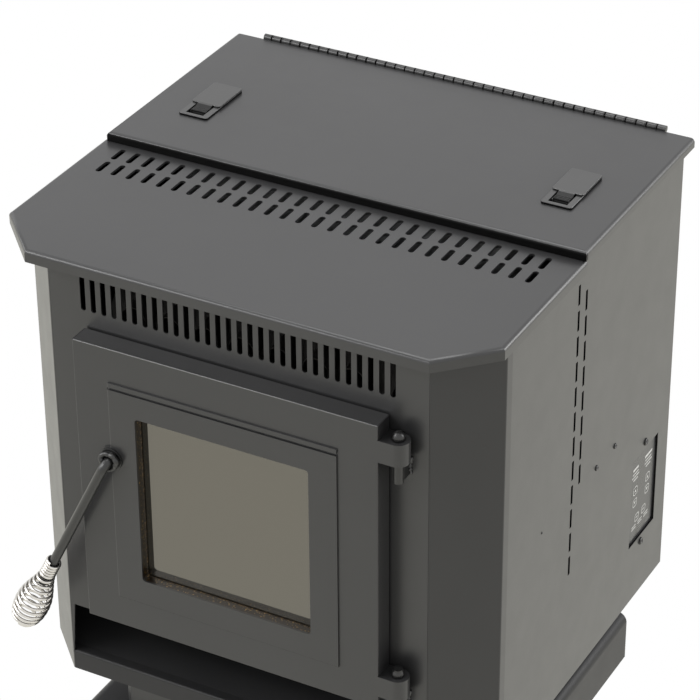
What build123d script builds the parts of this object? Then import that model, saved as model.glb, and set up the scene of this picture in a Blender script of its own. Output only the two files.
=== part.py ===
"""Freestanding pellet stove on a pedestal, as separate pieces.

Frame: origin on the floor under the middle of the base, front towards -Y,
right-hand side +X, up +Z. Millimetres throughout.
"""
from build123d import *
import math
import os

os.makedirs("parts", exist_ok=True)

# ---------------------------------------------------------------- driving sizes
SHEET = 2.0                 # body sheet
TOP_SHEET = 3.0             # top plate sheet
BEND = 3.0                  # outer radius of a small bend
TOP_BEND = 5.0              # outer radius of the top plate's and the lid's bends

BASE_W = 498.0              # pedestal base slab
BASE_D = 506.0
BASE_H = 66.0
BASE_BEND = 13.0
BASE_SHEET = 3.0

BODY_HALF = 285.75          # outside of the side panels
FRONT_HALF = 228.6          # front panel half width, where the corner facets start
CORNER = 57.15              # 45 degree corner facet, each leg
FRONT_Y = -249.5            # outside of the front panel
SIDE_REAR_Y = 261.4         # rear edge of the side panels
FLOOR_Z = 153.5             # underside of the cabinet
TOP_Z = 717.0               # upper face of the top plate
TOP_HALF = 294.6            # half width of the lid, and right edge of the top plate
TOP_LEFT_X = -300.2         # left edge of the top plate
TOP_CORNER_X = 238.8        # where the front edge turns into a corner facet
TOP_FRONT_Y = -275.0
TOP_REAR_Y = 266.2
LIP = 14.3                  # depth of the folded lip round the top plate

LID_FRONT_Y = -23.6
LID_REAR_Y = 266.4
LID_Z = 728.3               # upper face of the hopper lid
LID_GAP = 0.3

REAR_Y = 266.8              # outside of the rear panel
HINGE_Y = 270.8             # axis of the lid's continuous hinge
HINGE_Z = 729.2
HINGE_R = 4.0
HINGE_PIN_R = 2.4
HINGE_HALF = 258.3
KNUCKLES = 41

DOOR_LEFT = -184.0
DOOR_RIGHT = 182.5
DOOR_Z0 = 264.0
DOOR_Z1 = 624.7
DOOR_FRONT_Y = -277.0
DOOR_REAR_Y = -252.0
WINDOW_X = -3.6             # middle of the window
WINDOW_Z = 441.0
WINDOW = 211.0              # clear square of the window
PIN_X = 199.7               # door hinge axis
PIN_Y = -264.3
PIN_R = 5.55
LUG_R = 12.7
LUG_H = 26.4
LUG_TOPS = (607.2, 306.6)
DOORWAY_HALF = 150.0        # opening behind the door
DOORWAY_Z0 = 300.0
DOORWAY_Z1 = 590.0

HANDLE_X = -140.5           # door handle pivot
HANDLE_Z = 487.0
ROD_R = 5.55
ROD_Y = -293.0              # plane of the rod's long run
ROD_LEAN = 26.4             # degrees from straight down, towards the left
ROD_RUN = 172.8             # from the bend to the grip
GRIP_LENGTH = 107.0
GRIP_WIRE_R = 1.75
GRIP_TURNS = 16
GRIP_NECK_TURNS = 5

LATCH_LEFT_X = -227.8        # middle of each lid latch
LATCH_RIGHT_X = 223.8
LATCH_Y0 = 51.3
LATCH_Y1 = 133.4
LATCH_W = 37.4
LATCH_PIVOT_Y = 69.0
LATCH_PIVOT_Z = 725.8
LATCH_PIN_R = 2.5
LATCH_CUP = (25.6, 77.6)    # cup through the lid, width and length
LATCH_CUP_Y = 92.3

FIRE_HALF = 172.0           # firebox outside
FIRE_FRONT_Y = -247.3
FIRE_REAR_Y = -36.0
FIRE_Z0 = 268.0
FIRE_Z1 = 668.0
FIRE_WALL = 4.0
TUBE_Z = 640.0              # heat exchanger tubes
TUBE_R = 16.0
TUBE_PITCH = 44.0
TUBES = 7

AUGER_ORIGIN = (0.0, 165.0, 354.0)
AUGER_DIR = (0.0, -0.8, 0.6)
AUGER_LENGTH = 312.0
AUGER_TUBE_R = 27.0
AUGER_BORE_R = 25.0
AUGER_FLIGHT_R = 23.6
AUGER_SHAFT_R = 8.0
AUGER_PITCH = 52.0

INTAKE_X = -62.0
INTAKE_Z = 305.0
INTAKE_R = 25.4
EXHAUST_X = 130.0
EXHAUST_Z = 365.0
EXHAUST_R = 38.1
FAN_X = 70.0                # exhaust blower axis
FAN_Z = 240.0
ROOM_FAN_Y = 150.0          # room air blower axis
ROOM_FAN_Z = 245.0

KEYPAD_Y = 192.2
KEYPAD_Z = 296.5
KEYPAD_W = 72.6
KEYPAD_H = 122.0
INLET_X = 235.0             # power inlet
INLET_Z = 196.0
IGNITER_X = -22.0
IGNITER_Z = 322.0


def finish(builder, name):
    """Label a finished piece and write it."""
    builder.part.label = name
    export_step(builder.part, f"parts/{name}.step")


def body_outline(inset):
    """Plan of the cabinet, front corners cut at 45 degrees, inset all round."""
    half = BODY_HALF - inset
    front = FRONT_Y + inset
    rear = SIDE_REAR_Y - inset
    cut = inset * math.tan(math.radians(22.5))
    return [
        (-half, rear),
        (-half, FRONT_Y + CORNER + cut),
        (-FRONT_HALF + cut, front),
        (FRONT_HALF - cut, front),
        (half, FRONT_Y + CORNER + cut),
        (half, rear),
    ]


# ---------------------------------------------------------------- pedestal
def make_base():
    with BuildPart() as base:
        with BuildSketch(Plane.XY):
            Rectangle(BASE_W, BASE_D)
        extrude(amount=BASE_H)
        sides = base.faces().sort_by(Axis.Z)[-1].edges().filter_by(Axis.Y)
        fillet(sides, radius=BASE_BEND)
        bottom = base.faces().sort_by(Axis.Z)[0]
        offset(amount=-BASE_SHEET, openings=bottom)
    finish(base, "pedestal_base")

    bar_w, bar_h = 40.0, BASE_H - BASE_SHEET
    reach = BASE_W / 2 - BASE_BEND - 1
    with BuildPart() as bar:
        with BuildSketch(Plane.YZ.offset(-reach)):
            with Locations((0, bar_h / 2)):
                Rectangle(bar_w, bar_h)
            with Locations((0, bar_h / 2 + BASE_SHEET)):
                Rectangle(bar_w - 2 * BASE_SHEET, bar_h, mode=Mode.SUBTRACT)
        extrude(amount=2 * reach)
    finish(bar, "base_stiffener")


def make_column():
    wall = 2.5
    half = 184.0
    y0, y1 = -213.0, 150.0
    middle = (y0 + y1) / 2
    with BuildPart() as column:
        with BuildSketch(Plane.XY.offset(BASE_H)):
            with Locations((0, middle)):
                RectangleRounded(2 * half, y1 - y0, 8)
                RectangleRounded(2 * (half - wall), y1 - y0 - 2 * wall, 5.5, mode=Mode.SUBTRACT)
        extrude(amount=FLOOR_Z - BASE_H)
        with BuildSketch(Plane.XZ.offset(-y0 - 10)):
            with Locations((0, (BASE_H + FLOOR_Z) / 2)):
                Rectangle(2 * half - 44, FLOOR_Z - BASE_H - 24)
        extrude(amount=20, mode=Mode.SUBTRACT)
    finish(column, "pedestal_column")

    with BuildPart() as panel:
        with BuildSketch(Plane.XZ.offset(-y0)):
            with Locations((0, (BASE_H + FLOOR_Z) / 2)):
                Rectangle(2 * half - 14, FLOOR_Z - BASE_H - 6)
        extrude(amount=4)
        fillet(panel.edges().filter_by(Axis.Z).group_by(Axis.Y)[0], radius=3.5)
    finish(panel, "pedestal_front_panel")


# ---------------------------------------------------------------- cabinet sheets
def make_cabinet_floor():
    with BuildPart() as floor:
        with BuildSketch(Plane.XY.offset(FLOOR_Z)):
            with BuildLine():
                Polyline(*body_outline(SHEET + 0.4), close=True)
            make_face()
            with Locations((-172, 150)):
                Rectangle(90, 70, mode=Mode.SUBTRACT)
        extrude(amount=SHEET)
    finish(floor, "cabinet_floor")


def make_front_lip():
    """Front lip, ledge and gently sloping panel below the door, as wide as the cabinet."""
    half = FRONT_HALF - 1.7
    lip_z = TOP_Z - 538.0
    mid = FRONT_Y + SHEET / 2
    ledge, slope_run, slope = 12.0, 96.0, 13.0
    inner_half = BODY_HALF - SHEET - 0.5
    facet = FRONT_Y + SHEET + 1.1
    with BuildPart() as lip:
        with BuildSketch(Plane.YZ.offset(-BODY_HALF)):
            with BuildLine():
                FilletPolyline(
                    (mid, FLOOR_Z),
                    (mid, lip_z - SHEET / 2),
                    (mid + ledge, lip_z - SHEET / 2),
                    (
                        mid + ledge + slope_run,
                        lip_z - SHEET / 2 + slope_run * math.tan(math.radians(slope)),
                    ),
                    radius=2,
                )
            trace(line_width=SHEET)
        extrude(amount=2 * BODY_HALF)
        with BuildSketch(Plane.XY.offset(FLOOR_Z)):
            with BuildLine():
                Polyline(
                    (-half, FRONT_Y - 1),
                    (half, FRONT_Y - 1),
                    (half, facet),
                    (inner_half, facet + inner_half - half),
                    (inner_half, mid + ledge + slope_run + 5),
                    (-inner_half, mid + ledge + slope_run + 5),
                    (-inner_half, facet + inner_half - half),
                    (-half, facet),
                    close=True,
                )
            make_face()
        extrude(amount=100, mode=Mode.INTERSECT)
    finish(lip, "front_lip_shelf")


def make_side_panel(side, name, with_keypad):
    """Side sheet with its 45 degree corner facet, rear return and air slots."""
    t = SHEET / 2
    cut = t * math.tan(math.radians(22.5))
    slot_rows = (
        (FRONT_Y + 231.9, TOP_Z - 45.4, 12),
        (FRONT_Y + 251.2, TOP_Z - 61.2, 8),
    )
    slot_pitch = 31.75
    with BuildPart() as panel:
        with BuildSketch(Plane.XY.offset(FLOOR_Z)):
            with BuildLine():
                FilletPolyline(
                    (side * (BODY_HALF - 22), SIDE_REAR_Y - t),
                    (side * (BODY_HALF - t), SIDE_REAR_Y - t),
                    (side * (BODY_HALF - t), FRONT_Y + CORNER + cut),
                    (side * (FRONT_HALF - cut), FRONT_Y + t),
                    (side * (FRONT_HALF - cut - 1.0), FRONT_Y + t),
                    radius=BEND - t,
                )
            trace(line_width=SHEET)
        extrude(amount=TOP_Z - TOP_SHEET - FLOOR_Z)
        for y, z, count in slot_rows:
            with BuildSketch(Plane.YZ.offset(side * (BODY_HALF + 2))):
                with Locations((y, z - slot_pitch * (count - 1) / 2)):
                    with GridLocations(1, slot_pitch, 1, count):
                        Rectangle(2.2, 23.8)
            extrude(amount=-side * 6, mode=Mode.SUBTRACT)
        if with_keypad:
            with BuildSketch(Plane.YZ.offset(BODY_HALF + 2)):
                with Locations((KEYPAD_Y, KEYPAD_Z)):
                    Rectangle(KEYPAD_W, KEYPAD_H)
            extrude(amount=-6, mode=Mode.SUBTRACT)
    finish(panel, name)


def make_front_panel():
    """Front sheet: louvre of tall slots, doorway, and the edge of the low recess."""
    slots = 30
    slot_pitch = 12.8
    slot_w = 6.4
    slot_z0 = TOP_Z - 72.3
    slot_z1 = TOP_Z - 11.8
    half = FRONT_HALF - 1.6
    recess_z = 246.0
    lip_z = TOP_Z - 537.0
    with BuildPart() as front:
        with BuildSketch(Plane.XZ.offset(-FRONT_Y)):
            with BuildLine():
                Polyline(
                    (-half, lip_z),
                    (-half, TOP_Z - TOP_SHEET),
                    (half, TOP_Z - TOP_SHEET),
                    (half, lip_z),
                    (222.5, recess_z),
                    (-222.5, recess_z),
                    close=True,
                )
            make_face()
            with Locations((0, (DOORWAY_Z0 + DOORWAY_Z1) / 2)):
                Rectangle(2 * DOORWAY_HALF, DOORWAY_Z1 - DOORWAY_Z0, mode=Mode.SUBTRACT)
            with Locations((0, (slot_z0 + slot_z1) / 2)):
                with GridLocations(slot_pitch, 1, slots, 1):
                    SlotOverall(slot_z1 - slot_z0, slot_w, rotation=90, mode=Mode.SUBTRACT)
        extrude(amount=-SHEET)
        with BuildSketch(Plane.XZ.offset(-FRONT_Y - SHEET)):
            with Locations((0, recess_z + SHEET / 2)):
                Rectangle(2 * 222.5, SHEET)
        extrude(amount=-10)
    finish(front, "front_panel")


def make_rear_panel():
    """Rear tray: outlets, power inlet hole and two louvred grilles."""
    half = 281.0
    z0, z1 = FLOOR_Z + SHEET + 0.3, TOP_Z - TOP_SHEET - 0.5
    depth = REAR_Y - SIDE_REAR_Y
    with BuildPart() as rear:
        with BuildSketch(Plane.XZ.offset(-REAR_Y)):
            with Locations((0, (z0 + z1) / 2)):
                Rectangle(2 * half, z1 - z0)
        extrude(amount=depth)
        with BuildSketch(Plane.XZ.offset(-SIDE_REAR_Y)):
            with Locations((0, (z0 + z1) / 2)):
                Rectangle(2 * half - 2 * SHEET, z1 - z0 - 2 * SHEET)
        extrude(amount=-(depth - SHEET), mode=Mode.SUBTRACT)
        with BuildSketch(Plane.XZ.offset(-REAR_Y - 5)):
            with Locations((EXHAUST_X, EXHAUST_Z)):
                Circle(EXHAUST_R + 1)
            with Locations((INTAKE_X, INTAKE_Z)):
                Circle(INTAKE_R + 1)
            with Locations((INLET_X, INLET_Z)):
                Rectangle(27.5, 20)
            with Locations((-170, 245)):
                with GridLocations(1, 14, 1, 9):
                    Rectangle(120, 5)
            with Locations((0, 640)):
                with GridLocations(1, 14, 1, 4):
                    Rectangle(300, 5)
        extrude(amount=12, mode=Mode.SUBTRACT)
    finish(rear, "rear_panel")


def top_outline(inset, rear):
    """Plan of the top plate, inset at the front, facets and sides."""
    left, right = TOP_LEFT_X + inset, TOP_HALF - inset
    cut = inset * math.tan(math.radians(22.5))
    slope = 57.2 / 55.8
    left_y = TOP_FRONT_Y + (-TOP_CORNER_X - TOP_LEFT_X) * slope + cut
    right_y = TOP_FRONT_Y + (TOP_HALF - TOP_CORNER_X) * slope + cut
    return [
        (left, rear),
        (left, left_y),
        (-TOP_CORNER_X + cut, TOP_FRONT_Y + inset),
        (TOP_CORNER_X - cut, TOP_FRONT_Y + inset),
        (right, right_y),
        (right, rear),
    ]


def make_top_plate():
    """Top sheet with a folded lip, two rows of slots and the hopper mouth."""
    slots = 28
    slot_pitch = 19.38
    slots_x = -4.1
    slot_length, slot_w = 25.2, 7.0
    hook_slot_y = LATCH_PIVOT_Y + 3.5
    keeper_y = LATCH_PIVOT_Y - 28.0
    notch_y0, notch_y1 = LID_FRONT_Y + 3.5, TOP_REAR_Y + 1
    with BuildPart() as hollow:
        with BuildSketch(Plane.XY.offset(TOP_Z - LIP - 1)):
            with BuildLine():
                Polyline(*top_outline(SHEET, TOP_REAR_Y + 1), close=True)
            make_face()
        extrude(amount=LIP + 1 - TOP_SHEET)
        inner_edges = hollow.faces().sort_by(Axis.Z)[-1].edges().sort_by(Axis.Y)[:-1]
        fillet(inner_edges, radius=TOP_BEND - SHEET)
    with BuildPart() as top:
        with BuildSketch(Plane.XY.offset(TOP_Z - LIP)):
            with BuildLine():
                Polyline(*top_outline(0, TOP_REAR_Y), close=True)
            make_face()
        extrude(amount=LIP)
        bend_edges = top.faces().sort_by(Axis.Z)[-1].edges().sort_by(Axis.Y)[:-1]
        fillet(bend_edges, radius=TOP_BEND)
        add(hollow.part, mode=Mode.SUBTRACT)
        with BuildSketch(Plane.XY.offset(TOP_Z - LIP - 1)):
            with Locations((0, (notch_y0 + notch_y1) / 2)):
                Rectangle(3 * BODY_HALF, notch_y1 - notch_y0)
                Rectangle(2 * BODY_HALF + 2.4, notch_y1 - notch_y0, mode=Mode.SUBTRACT)
        extrude(amount=LIP + 2, mode=Mode.SUBTRACT)
        with BuildSketch(Plane.XY.offset(TOP_Z - TOP_SHEET - 1)):
            for y in (-46.0, -77.7):
                with Locations((slots_x, y)):
                    with GridLocations(slot_pitch, 1, slots, 1):
                        SlotOverall(slot_length, slot_w, rotation=90)
            with Locations((0, 116.5)):
                RectangleRounded(400, 237, 12)
            with Locations((LATCH_LEFT_X, hook_slot_y), (LATCH_RIGHT_X, hook_slot_y)):
                Rectangle(13, 43)
        extrude(amount=TOP_SHEET + 2, mode=Mode.SUBTRACT)
    finish(top, "top_plate")

    with BuildPart() as keepers:
        with BuildSketch(Plane.XY.offset(TOP_Z - TOP_SHEET)):
            with Locations((LATCH_LEFT_X, keeper_y), (LATCH_RIGHT_X, keeper_y)):
                Rectangle(20, 18)
        extrude(amount=-5)
        chamfer(keepers.edges().filter_by(Axis.X).group_by(Axis.Z)[0], length=2)
    finish(keepers, "latch_keepers")


def make_lid_gasket():
    with BuildPart() as gasket:
        with BuildSketch(Plane.XY.offset(TOP_Z)):
            with Locations((0, 117)):
                RectangleRounded(508, 264, 16)
                RectangleRounded(488, 244, 8, mode=Mode.SUBTRACT)
        extrude(amount=9)
    finish(gasket, "hopper_lid_gasket")


# ---------------------------------------------------------------- hopper lid
def make_lid():
    """Folded lid: flanges at the front and sides, a slit at each front corner."""
    z0 = TOP_Z + LID_GAP
    middle = (LID_FRONT_Y + LID_REAR_Y) / 2
    depth = LID_REAR_Y - LID_FRONT_Y
    with BuildPart() as hollow:
        with BuildSketch(Plane.XY.offset(z0 - 1)):
            with Locations((0, middle + SHEET)):
                Rectangle(2 * (TOP_HALF - SHEET), depth)
        extrude(amount=LID_Z - SHEET - z0 + 1)
        inner_edges = hollow.faces().sort_by(Axis.Z)[-1].edges().sort_by(Axis.Y)[:-1]
        fillet(inner_edges, radius=TOP_BEND - SHEET)
    with BuildPart() as lid:
        with BuildSketch(Plane.XY.offset(z0)):
            with Locations((0, middle)):
                Rectangle(2 * TOP_HALF, depth)
        extrude(amount=LID_Z - z0)
        top_edges = lid.faces().sort_by(Axis.Z)[-1].edges().sort_by(Axis.Y)[:-1]
        fillet(top_edges, radius=TOP_BEND)
        add(hollow.part, mode=Mode.SUBTRACT)
        with BuildSketch(Plane.XY.offset(z0)):
            with Locations((-TOP_HALF, LID_FRONT_Y + 2.8), (TOP_HALF, LID_FRONT_Y + 2.8)):
                Rectangle(7, 1.6)
        extrude(amount=LID_Z - z0 - 2.4, mode=Mode.SUBTRACT)
        with BuildSketch(Plane.XY.offset(LID_Z - 5)):
            with Locations((LATCH_LEFT_X, LATCH_CUP_Y), (LATCH_RIGHT_X, LATCH_CUP_Y)):
                Rectangle(LATCH_CUP[0] + 0.4, LATCH_CUP[1] + 0.4)
        extrude(amount=10, mode=Mode.SUBTRACT)
    finish(lid, "hopper_lid")


def knuckle_spans(moving):
    """Start and length of every knuckle of one leaf, alternating along the hinge."""
    pitch = 2 * HINGE_HALF / KNUCKLES
    gap = 0.3
    first = 1 if moving else 0
    return [(-HINGE_HALF + i * pitch + gap / 2, pitch - gap) for i in range(first, KNUCKLES, 2)]


def make_lid_hinge():
    """Continuous hinge: two leaves with rolled knuckles on one long pin."""
    leaf = 1.1
    cut = HINGE_R + 0.4
    with BuildPart() as fixed:
        with BuildSketch(Plane.XZ.offset(-REAR_Y)):
            with Locations((0, (688 + HINGE_Z) / 2)):
                Rectangle(2 * HINGE_HALF, HINGE_Z - 688)
        extrude(amount=-leaf)
        for x, length in knuckle_spans(True):
            with BuildSketch(Plane.YZ.offset(x - 0.3)):
                with Locations((HINGE_Y, HINGE_Z)):
                    Rectangle(2 * cut + 2, 2 * cut)
            extrude(amount=length + 0.6, mode=Mode.SUBTRACT)
        for x, length in knuckle_spans(False):
            with BuildSketch(Plane.YZ.offset(x)):
                with Locations((HINGE_Y, HINGE_Z)):
                    Circle(HINGE_R)
                    Circle(HINGE_PIN_R, mode=Mode.SUBTRACT)
            extrude(amount=length)
        with BuildSketch(Plane.YZ.offset(-HINGE_HALF)):
            with Locations((HINGE_Y, HINGE_Z)):
                Circle(HINGE_PIN_R)
        extrude(amount=2 * HINGE_HALF, mode=Mode.SUBTRACT)
    finish(fixed, "lid_hinge_fixed_leaf")

    leaf_z = HINGE_Z - HINGE_R
    with BuildPart() as moving:
        with BuildSketch(Plane.XY.offset(leaf_z)):
            with Locations((0, (252 + HINGE_Y) / 2)):
                Rectangle(2 * HINGE_HALF, HINGE_Y - 252)
        extrude(amount=leaf)
        for x, length in knuckle_spans(False):
            with BuildSketch(Plane.YZ.offset(x - 0.3)):
                with Locations((HINGE_Y, HINGE_Z)):
                    Rectangle(2 * cut, 2 * cut + 2)
            extrude(amount=length + 0.6, mode=Mode.SUBTRACT)
        for x, length in knuckle_spans(True):
            with BuildSketch(Plane.YZ.offset(x)):
                with Locations((HINGE_Y, HINGE_Z)):
                    Circle(HINGE_R)
            extrude(amount=length)
        with BuildSketch(Plane.YZ.offset(-HINGE_HALF)):
            with Locations((HINGE_Y, HINGE_Z)):
                Circle(HINGE_PIN_R + 0.06)
        extrude(amount=2 * HINGE_HALF, mode=Mode.SUBTRACT)
    finish(moving, "lid_hinge_moving_leaf")

    with BuildPart() as pin:
        with BuildSketch(Plane.YZ.offset(-HINGE_HALF)):
            with Locations((HINGE_Y, HINGE_Z)):
                Circle(HINGE_PIN_R)
        extrude(amount=2 * HINGE_HALF)
    finish(pin, "lid_hinge_pin")


def make_latches():
    """Flush lever latches: pans set in the lid, pivot pins and lifting levers."""
    rim_z = LID_Z + 2.4
    middle = (LATCH_Y0 + LATCH_Y1) / 2
    cup_z = LID_Z - 8.0
    mouth_y0, mouth_y1 = 56.3, 95.0
    inner_w = 22.8
    pocket_y, pocket_length = 113.0, 32.0
    with BuildPart() as pans:
        with BuildSketch(Plane.XY.offset(LID_Z)):
            with Locations((LATCH_LEFT_X, middle), (LATCH_RIGHT_X, middle)):
                RectangleRounded(LATCH_W, LATCH_Y1 - LATCH_Y0, 3.5)
        extrude(amount=rim_z - LID_Z)
        chamfer(pans.faces().group_by(Axis.Z)[-1].edges(), length=0.8)
        with BuildSketch(Plane.XY.offset(LID_Z)):
            with Locations((LATCH_LEFT_X, LATCH_CUP_Y), (LATCH_RIGHT_X, LATCH_CUP_Y)):
                Rectangle(*LATCH_CUP)
        extrude(amount=cup_z - LID_Z)
        for x in (LATCH_LEFT_X, LATCH_RIGHT_X):
            with BuildSketch(Plane.XY.offset(cup_z)):
                with Locations((x, (mouth_y0 + mouth_y1) / 2)):
                    Rectangle(inner_w, mouth_y1 - mouth_y0)
            extrude(amount=20, mode=Mode.SUBTRACT)
            with BuildSketch(Plane.XY.offset(cup_z)):
                with Locations((x, pocket_y)):
                    Rectangle(inner_w, pocket_length)
            extrude(amount=LID_Z - cup_z, mode=Mode.SUBTRACT)
            with BuildSketch(Plane.YZ.offset(x - LATCH_W)):
                with Locations((LATCH_PIVOT_Y, LATCH_PIVOT_Z)):
                    Circle(LATCH_PIN_R)
            extrude(amount=2 * LATCH_W, mode=Mode.SUBTRACT)
    finish(pans, "latch_pans")

    with BuildPart() as pins:
        for x in (LATCH_LEFT_X, LATCH_RIGHT_X):
            with BuildSketch(Plane.YZ.offset(x - LATCH_CUP[0] / 2)):
                with Locations((LATCH_PIVOT_Y, LATCH_PIVOT_Z)):
                    Circle(LATCH_PIN_R)
            extrude(amount=LATCH_CUP[0])
    finish(pins, "latch_pivot_pins")


def make_latch_lever(x, name):
    """Lever: wide thumb plate, narrow ribbed tongue down in the pan, hook through the lid."""
    plate_z0, plate_t = LID_Z + 2.7, 1.7
    plate_z1 = plate_z0 + plate_t
    wide_y0 = 81.0
    tongue_w, tongue_y0 = 18.6, 64.5
    knuckle_r = 4.7
    tongue_z = LATCH_PIVOT_Z + knuckle_r
    with BuildPart() as lever:
        with BuildSketch(Plane.XY.offset(plate_z0)):
            with Locations((x, (wide_y0 + LATCH_Y1) / 2)):
                RectangleRounded(LATCH_W, LATCH_Y1 - wide_y0, 3.5)
        extrude(amount=plate_t)
        fillet(lever.faces().sort_by(Axis.Z)[-1].edges(), radius=1.2)
        with BuildSketch(Plane.YZ.offset(x - tongue_w / 2)):
            with BuildLine():
                Polyline(
                    (tongue_y0, tongue_z - 2.2),
                    (tongue_y0, tongue_z),
                    (74, tongue_z),
                    (80, plate_z1 - 0.2),
                    (86, plate_z1 - 0.2),
                    (86, plate_z0),
                    (81, plate_z0),
                    (76, tongue_z - 2.2),
                    close=True,
                )
            make_face()
            with Locations((LATCH_PIVOT_Y, LATCH_PIVOT_Z)):
                Circle(knuckle_r)
            with Locations((66.3, tongue_z), (69.3, tongue_z), (72.3, tongue_z)):
                Circle(0.6)
        extrude(amount=tongue_w)
        with BuildSketch(Plane.YZ.offset(x - 4)):
            with Locations((LATCH_PIVOT_Y, LATCH_PIVOT_Z - 11)):
                Rectangle(6, 15)
            with Locations((LATCH_PIVOT_Y - 11, LATCH_PIVOT_Z - 19)):
                Rectangle(28, 3)
        extrude(amount=8)
        with BuildSketch(Plane.YZ.offset(x - LATCH_W)):
            with Locations((LATCH_PIVOT_Y, LATCH_PIVOT_Z)):
                Circle(LATCH_PIN_R + 0.06)
        extrude(amount=2 * LATCH_W, mode=Mode.SUBTRACT)
    finish(lever, name)


# ---------------------------------------------------------------- door
def retainer_spots():
    """Screw places round the window: the four corners and the four side middles."""
    reach = 123.0
    steps = (-1, 0, 1)
    return [
        (WINDOW_X + i * reach, WINDOW_Z + j * reach)
        for i in steps
        for j in steps
        if (i, j) != (0, 0)
    ]


def make_door():
    """Boxed door with raised bezel, square window and two hinge lugs."""
    width = DOOR_RIGHT - DOOR_LEFT
    height = DOOR_Z1 - DOOR_Z0
    door_z = (DOOR_Z0 + DOOR_Z1) / 2
    bezel_x, bezel_z = WINDOW_X + 0.7, WINDOW_Z + 2.7
    bezel_w, bezel_h, bezel_rise = 277.0, 279.0, 2.0
    groove_w, groove_drop = 3.0, 7.0
    glass_set = 5.5
    with BuildPart() as door:
        with BuildSketch(Plane.XZ.offset(-DOOR_FRONT_Y)):
            with Locations(((DOOR_LEFT + DOOR_RIGHT) / 2, door_z)):
                Rectangle(width, height)
        extrude(amount=-(DOOR_REAR_Y - DOOR_FRONT_Y))
        front_edges = door.faces().sort_by(Axis.Y)[0].edges()
        fillet(front_edges, radius=1.2)
        with BuildSketch(Plane.XZ.offset(-DOOR_FRONT_Y)):
            with Locations((bezel_x, bezel_z)):
                Rectangle(bezel_w, bezel_h)
        extrude(amount=bezel_rise, taper=5)
        with BuildSketch(Plane.XZ.offset(-DOOR_FRONT_Y - 0.6)):
            with Locations((bezel_x, bezel_z + bezel_h / 2 - groove_drop)):
                Rectangle(bezel_w + 2, groove_w)
        extrude(amount=bezel_rise + 1, mode=Mode.SUBTRACT)
        with BuildSketch(Plane.XZ.offset(-DOOR_FRONT_Y)):
            with Locations((HANDLE_X, HANDLE_Z)):
                Circle(15)
        extrude(amount=2)
        for top in LUG_TOPS:
            with BuildSketch(Plane.XY.offset(top - LUG_H)):
                with Locations(((DOOR_RIGHT - 6 + PIN_X) / 2, PIN_Y)):
                    Rectangle(PIN_X - DOOR_RIGHT + 6, 2 * LUG_R)
                with Locations((PIN_X, PIN_Y)):
                    Circle(LUG_R)
            extrude(amount=LUG_H)
            with BuildSketch(Plane.XY.offset(top - LUG_H - 1)):
                with Locations((PIN_X, PIN_Y)):
                    Circle(PIN_R + 0.07)
            extrude(amount=LUG_H + 2, mode=Mode.SUBTRACT)
        with BuildSketch(Plane.XZ.offset(-DOOR_FRONT_Y + 5)):
            with Locations((WINDOW_X, WINDOW_Z)):
                RectangleRounded(WINDOW, WINDOW, 4)
            with Locations((HANDLE_X, HANDLE_Z)):
                Circle(ROD_R + 0.08)
        extrude(amount=-40, mode=Mode.SUBTRACT)
        with BuildSketch(Plane.XZ.offset(-DOOR_REAR_Y)):
            with Locations((WINDOW_X, WINDOW_Z)):
                Rectangle(258, 258)
        extrude(amount=glass_set + 4, mode=Mode.SUBTRACT)
        with BuildSketch(Plane.XZ.offset(-DOOR_REAR_Y)):
            with Locations((WINDOW_X, WINDOW_Z)):
                Rectangle(240, 240)
        extrude(amount=glass_set + 11.5, mode=Mode.SUBTRACT)
        with BuildSketch(Plane.XZ.offset(-DOOR_REAR_Y)):
            with Locations(*retainer_spots()):
                Circle(2)
        extrude(amount=glass_set + 12, mode=Mode.SUBTRACT)
        with BuildSketch(Plane.XZ.offset(-DOOR_REAR_Y)):
            with Locations((0, door_z)):
                RectangleRounded(346, 343, 12)
                RectangleRounded(326, 323, 4, mode=Mode.SUBTRACT)
        extrude(amount=5, mode=Mode.SUBTRACT)
    finish(door, "door_frame")

    with BuildPart() as rope:
        with BuildSketch(Plane.XZ.offset(-DOOR_REAR_Y + 5)):
            with Locations((0, door_z)):
                RectangleRounded(346, 343, 12)
                RectangleRounded(326, 323, 4, mode=Mode.SUBTRACT)
        extrude(amount=-7.2)
    finish(rope, "door_rope_gasket")

    with BuildPart() as strip:
        with BuildSketch(Plane.XZ.offset(-DOOR_REAR_Y + glass_set + 11.5)):
            with Locations((WINDOW_X, WINDOW_Z)):
                Rectangle(236, 236)
                RectangleRounded(WINDOW + 0.4, WINDOW + 0.4, 4, mode=Mode.SUBTRACT)
        extrude(amount=-2.5)
    finish(strip, "window_gasket")

    with BuildPart() as glass:
        with BuildSketch(Plane.XZ.offset(-DOOR_REAR_Y + glass_set + 9)):
            with Locations((WINDOW_X, WINDOW_Z)):
                Rectangle(236, 236)
        extrude(amount=-5)
        fillet(glass.edges().filter_by(Axis.Y), radius=4)
    finish(glass, "door_glass")

    with BuildPart() as retainer:
        with BuildSketch(Plane.XZ.offset(-DOOR_REAR_Y + glass_set + 4)):
            with Locations((WINDOW_X, WINDOW_Z)):
                Rectangle(256, 256)
                Rectangle(222, 222, mode=Mode.SUBTRACT)
            with Locations(*retainer_spots()):
                Circle(2, mode=Mode.SUBTRACT)
        extrude(amount=-2.5)
    finish(retainer, "glass_retainer")

    with BuildPart() as screws:
        with BuildSketch(Plane.XZ.offset(-DOOR_REAR_Y + glass_set + 1.5)):
            with Locations(*retainer_spots()):
                RegularPolygon(4, 6)
        extrude(amount=-2)
        with BuildSketch(Plane.XZ.offset(-DOOR_REAR_Y + glass_set + 1.5)):
            with Locations(*retainer_spots()):
                Circle(2)
        extrude(amount=8)
    finish(screws, "glass_retainer_screws")

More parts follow.
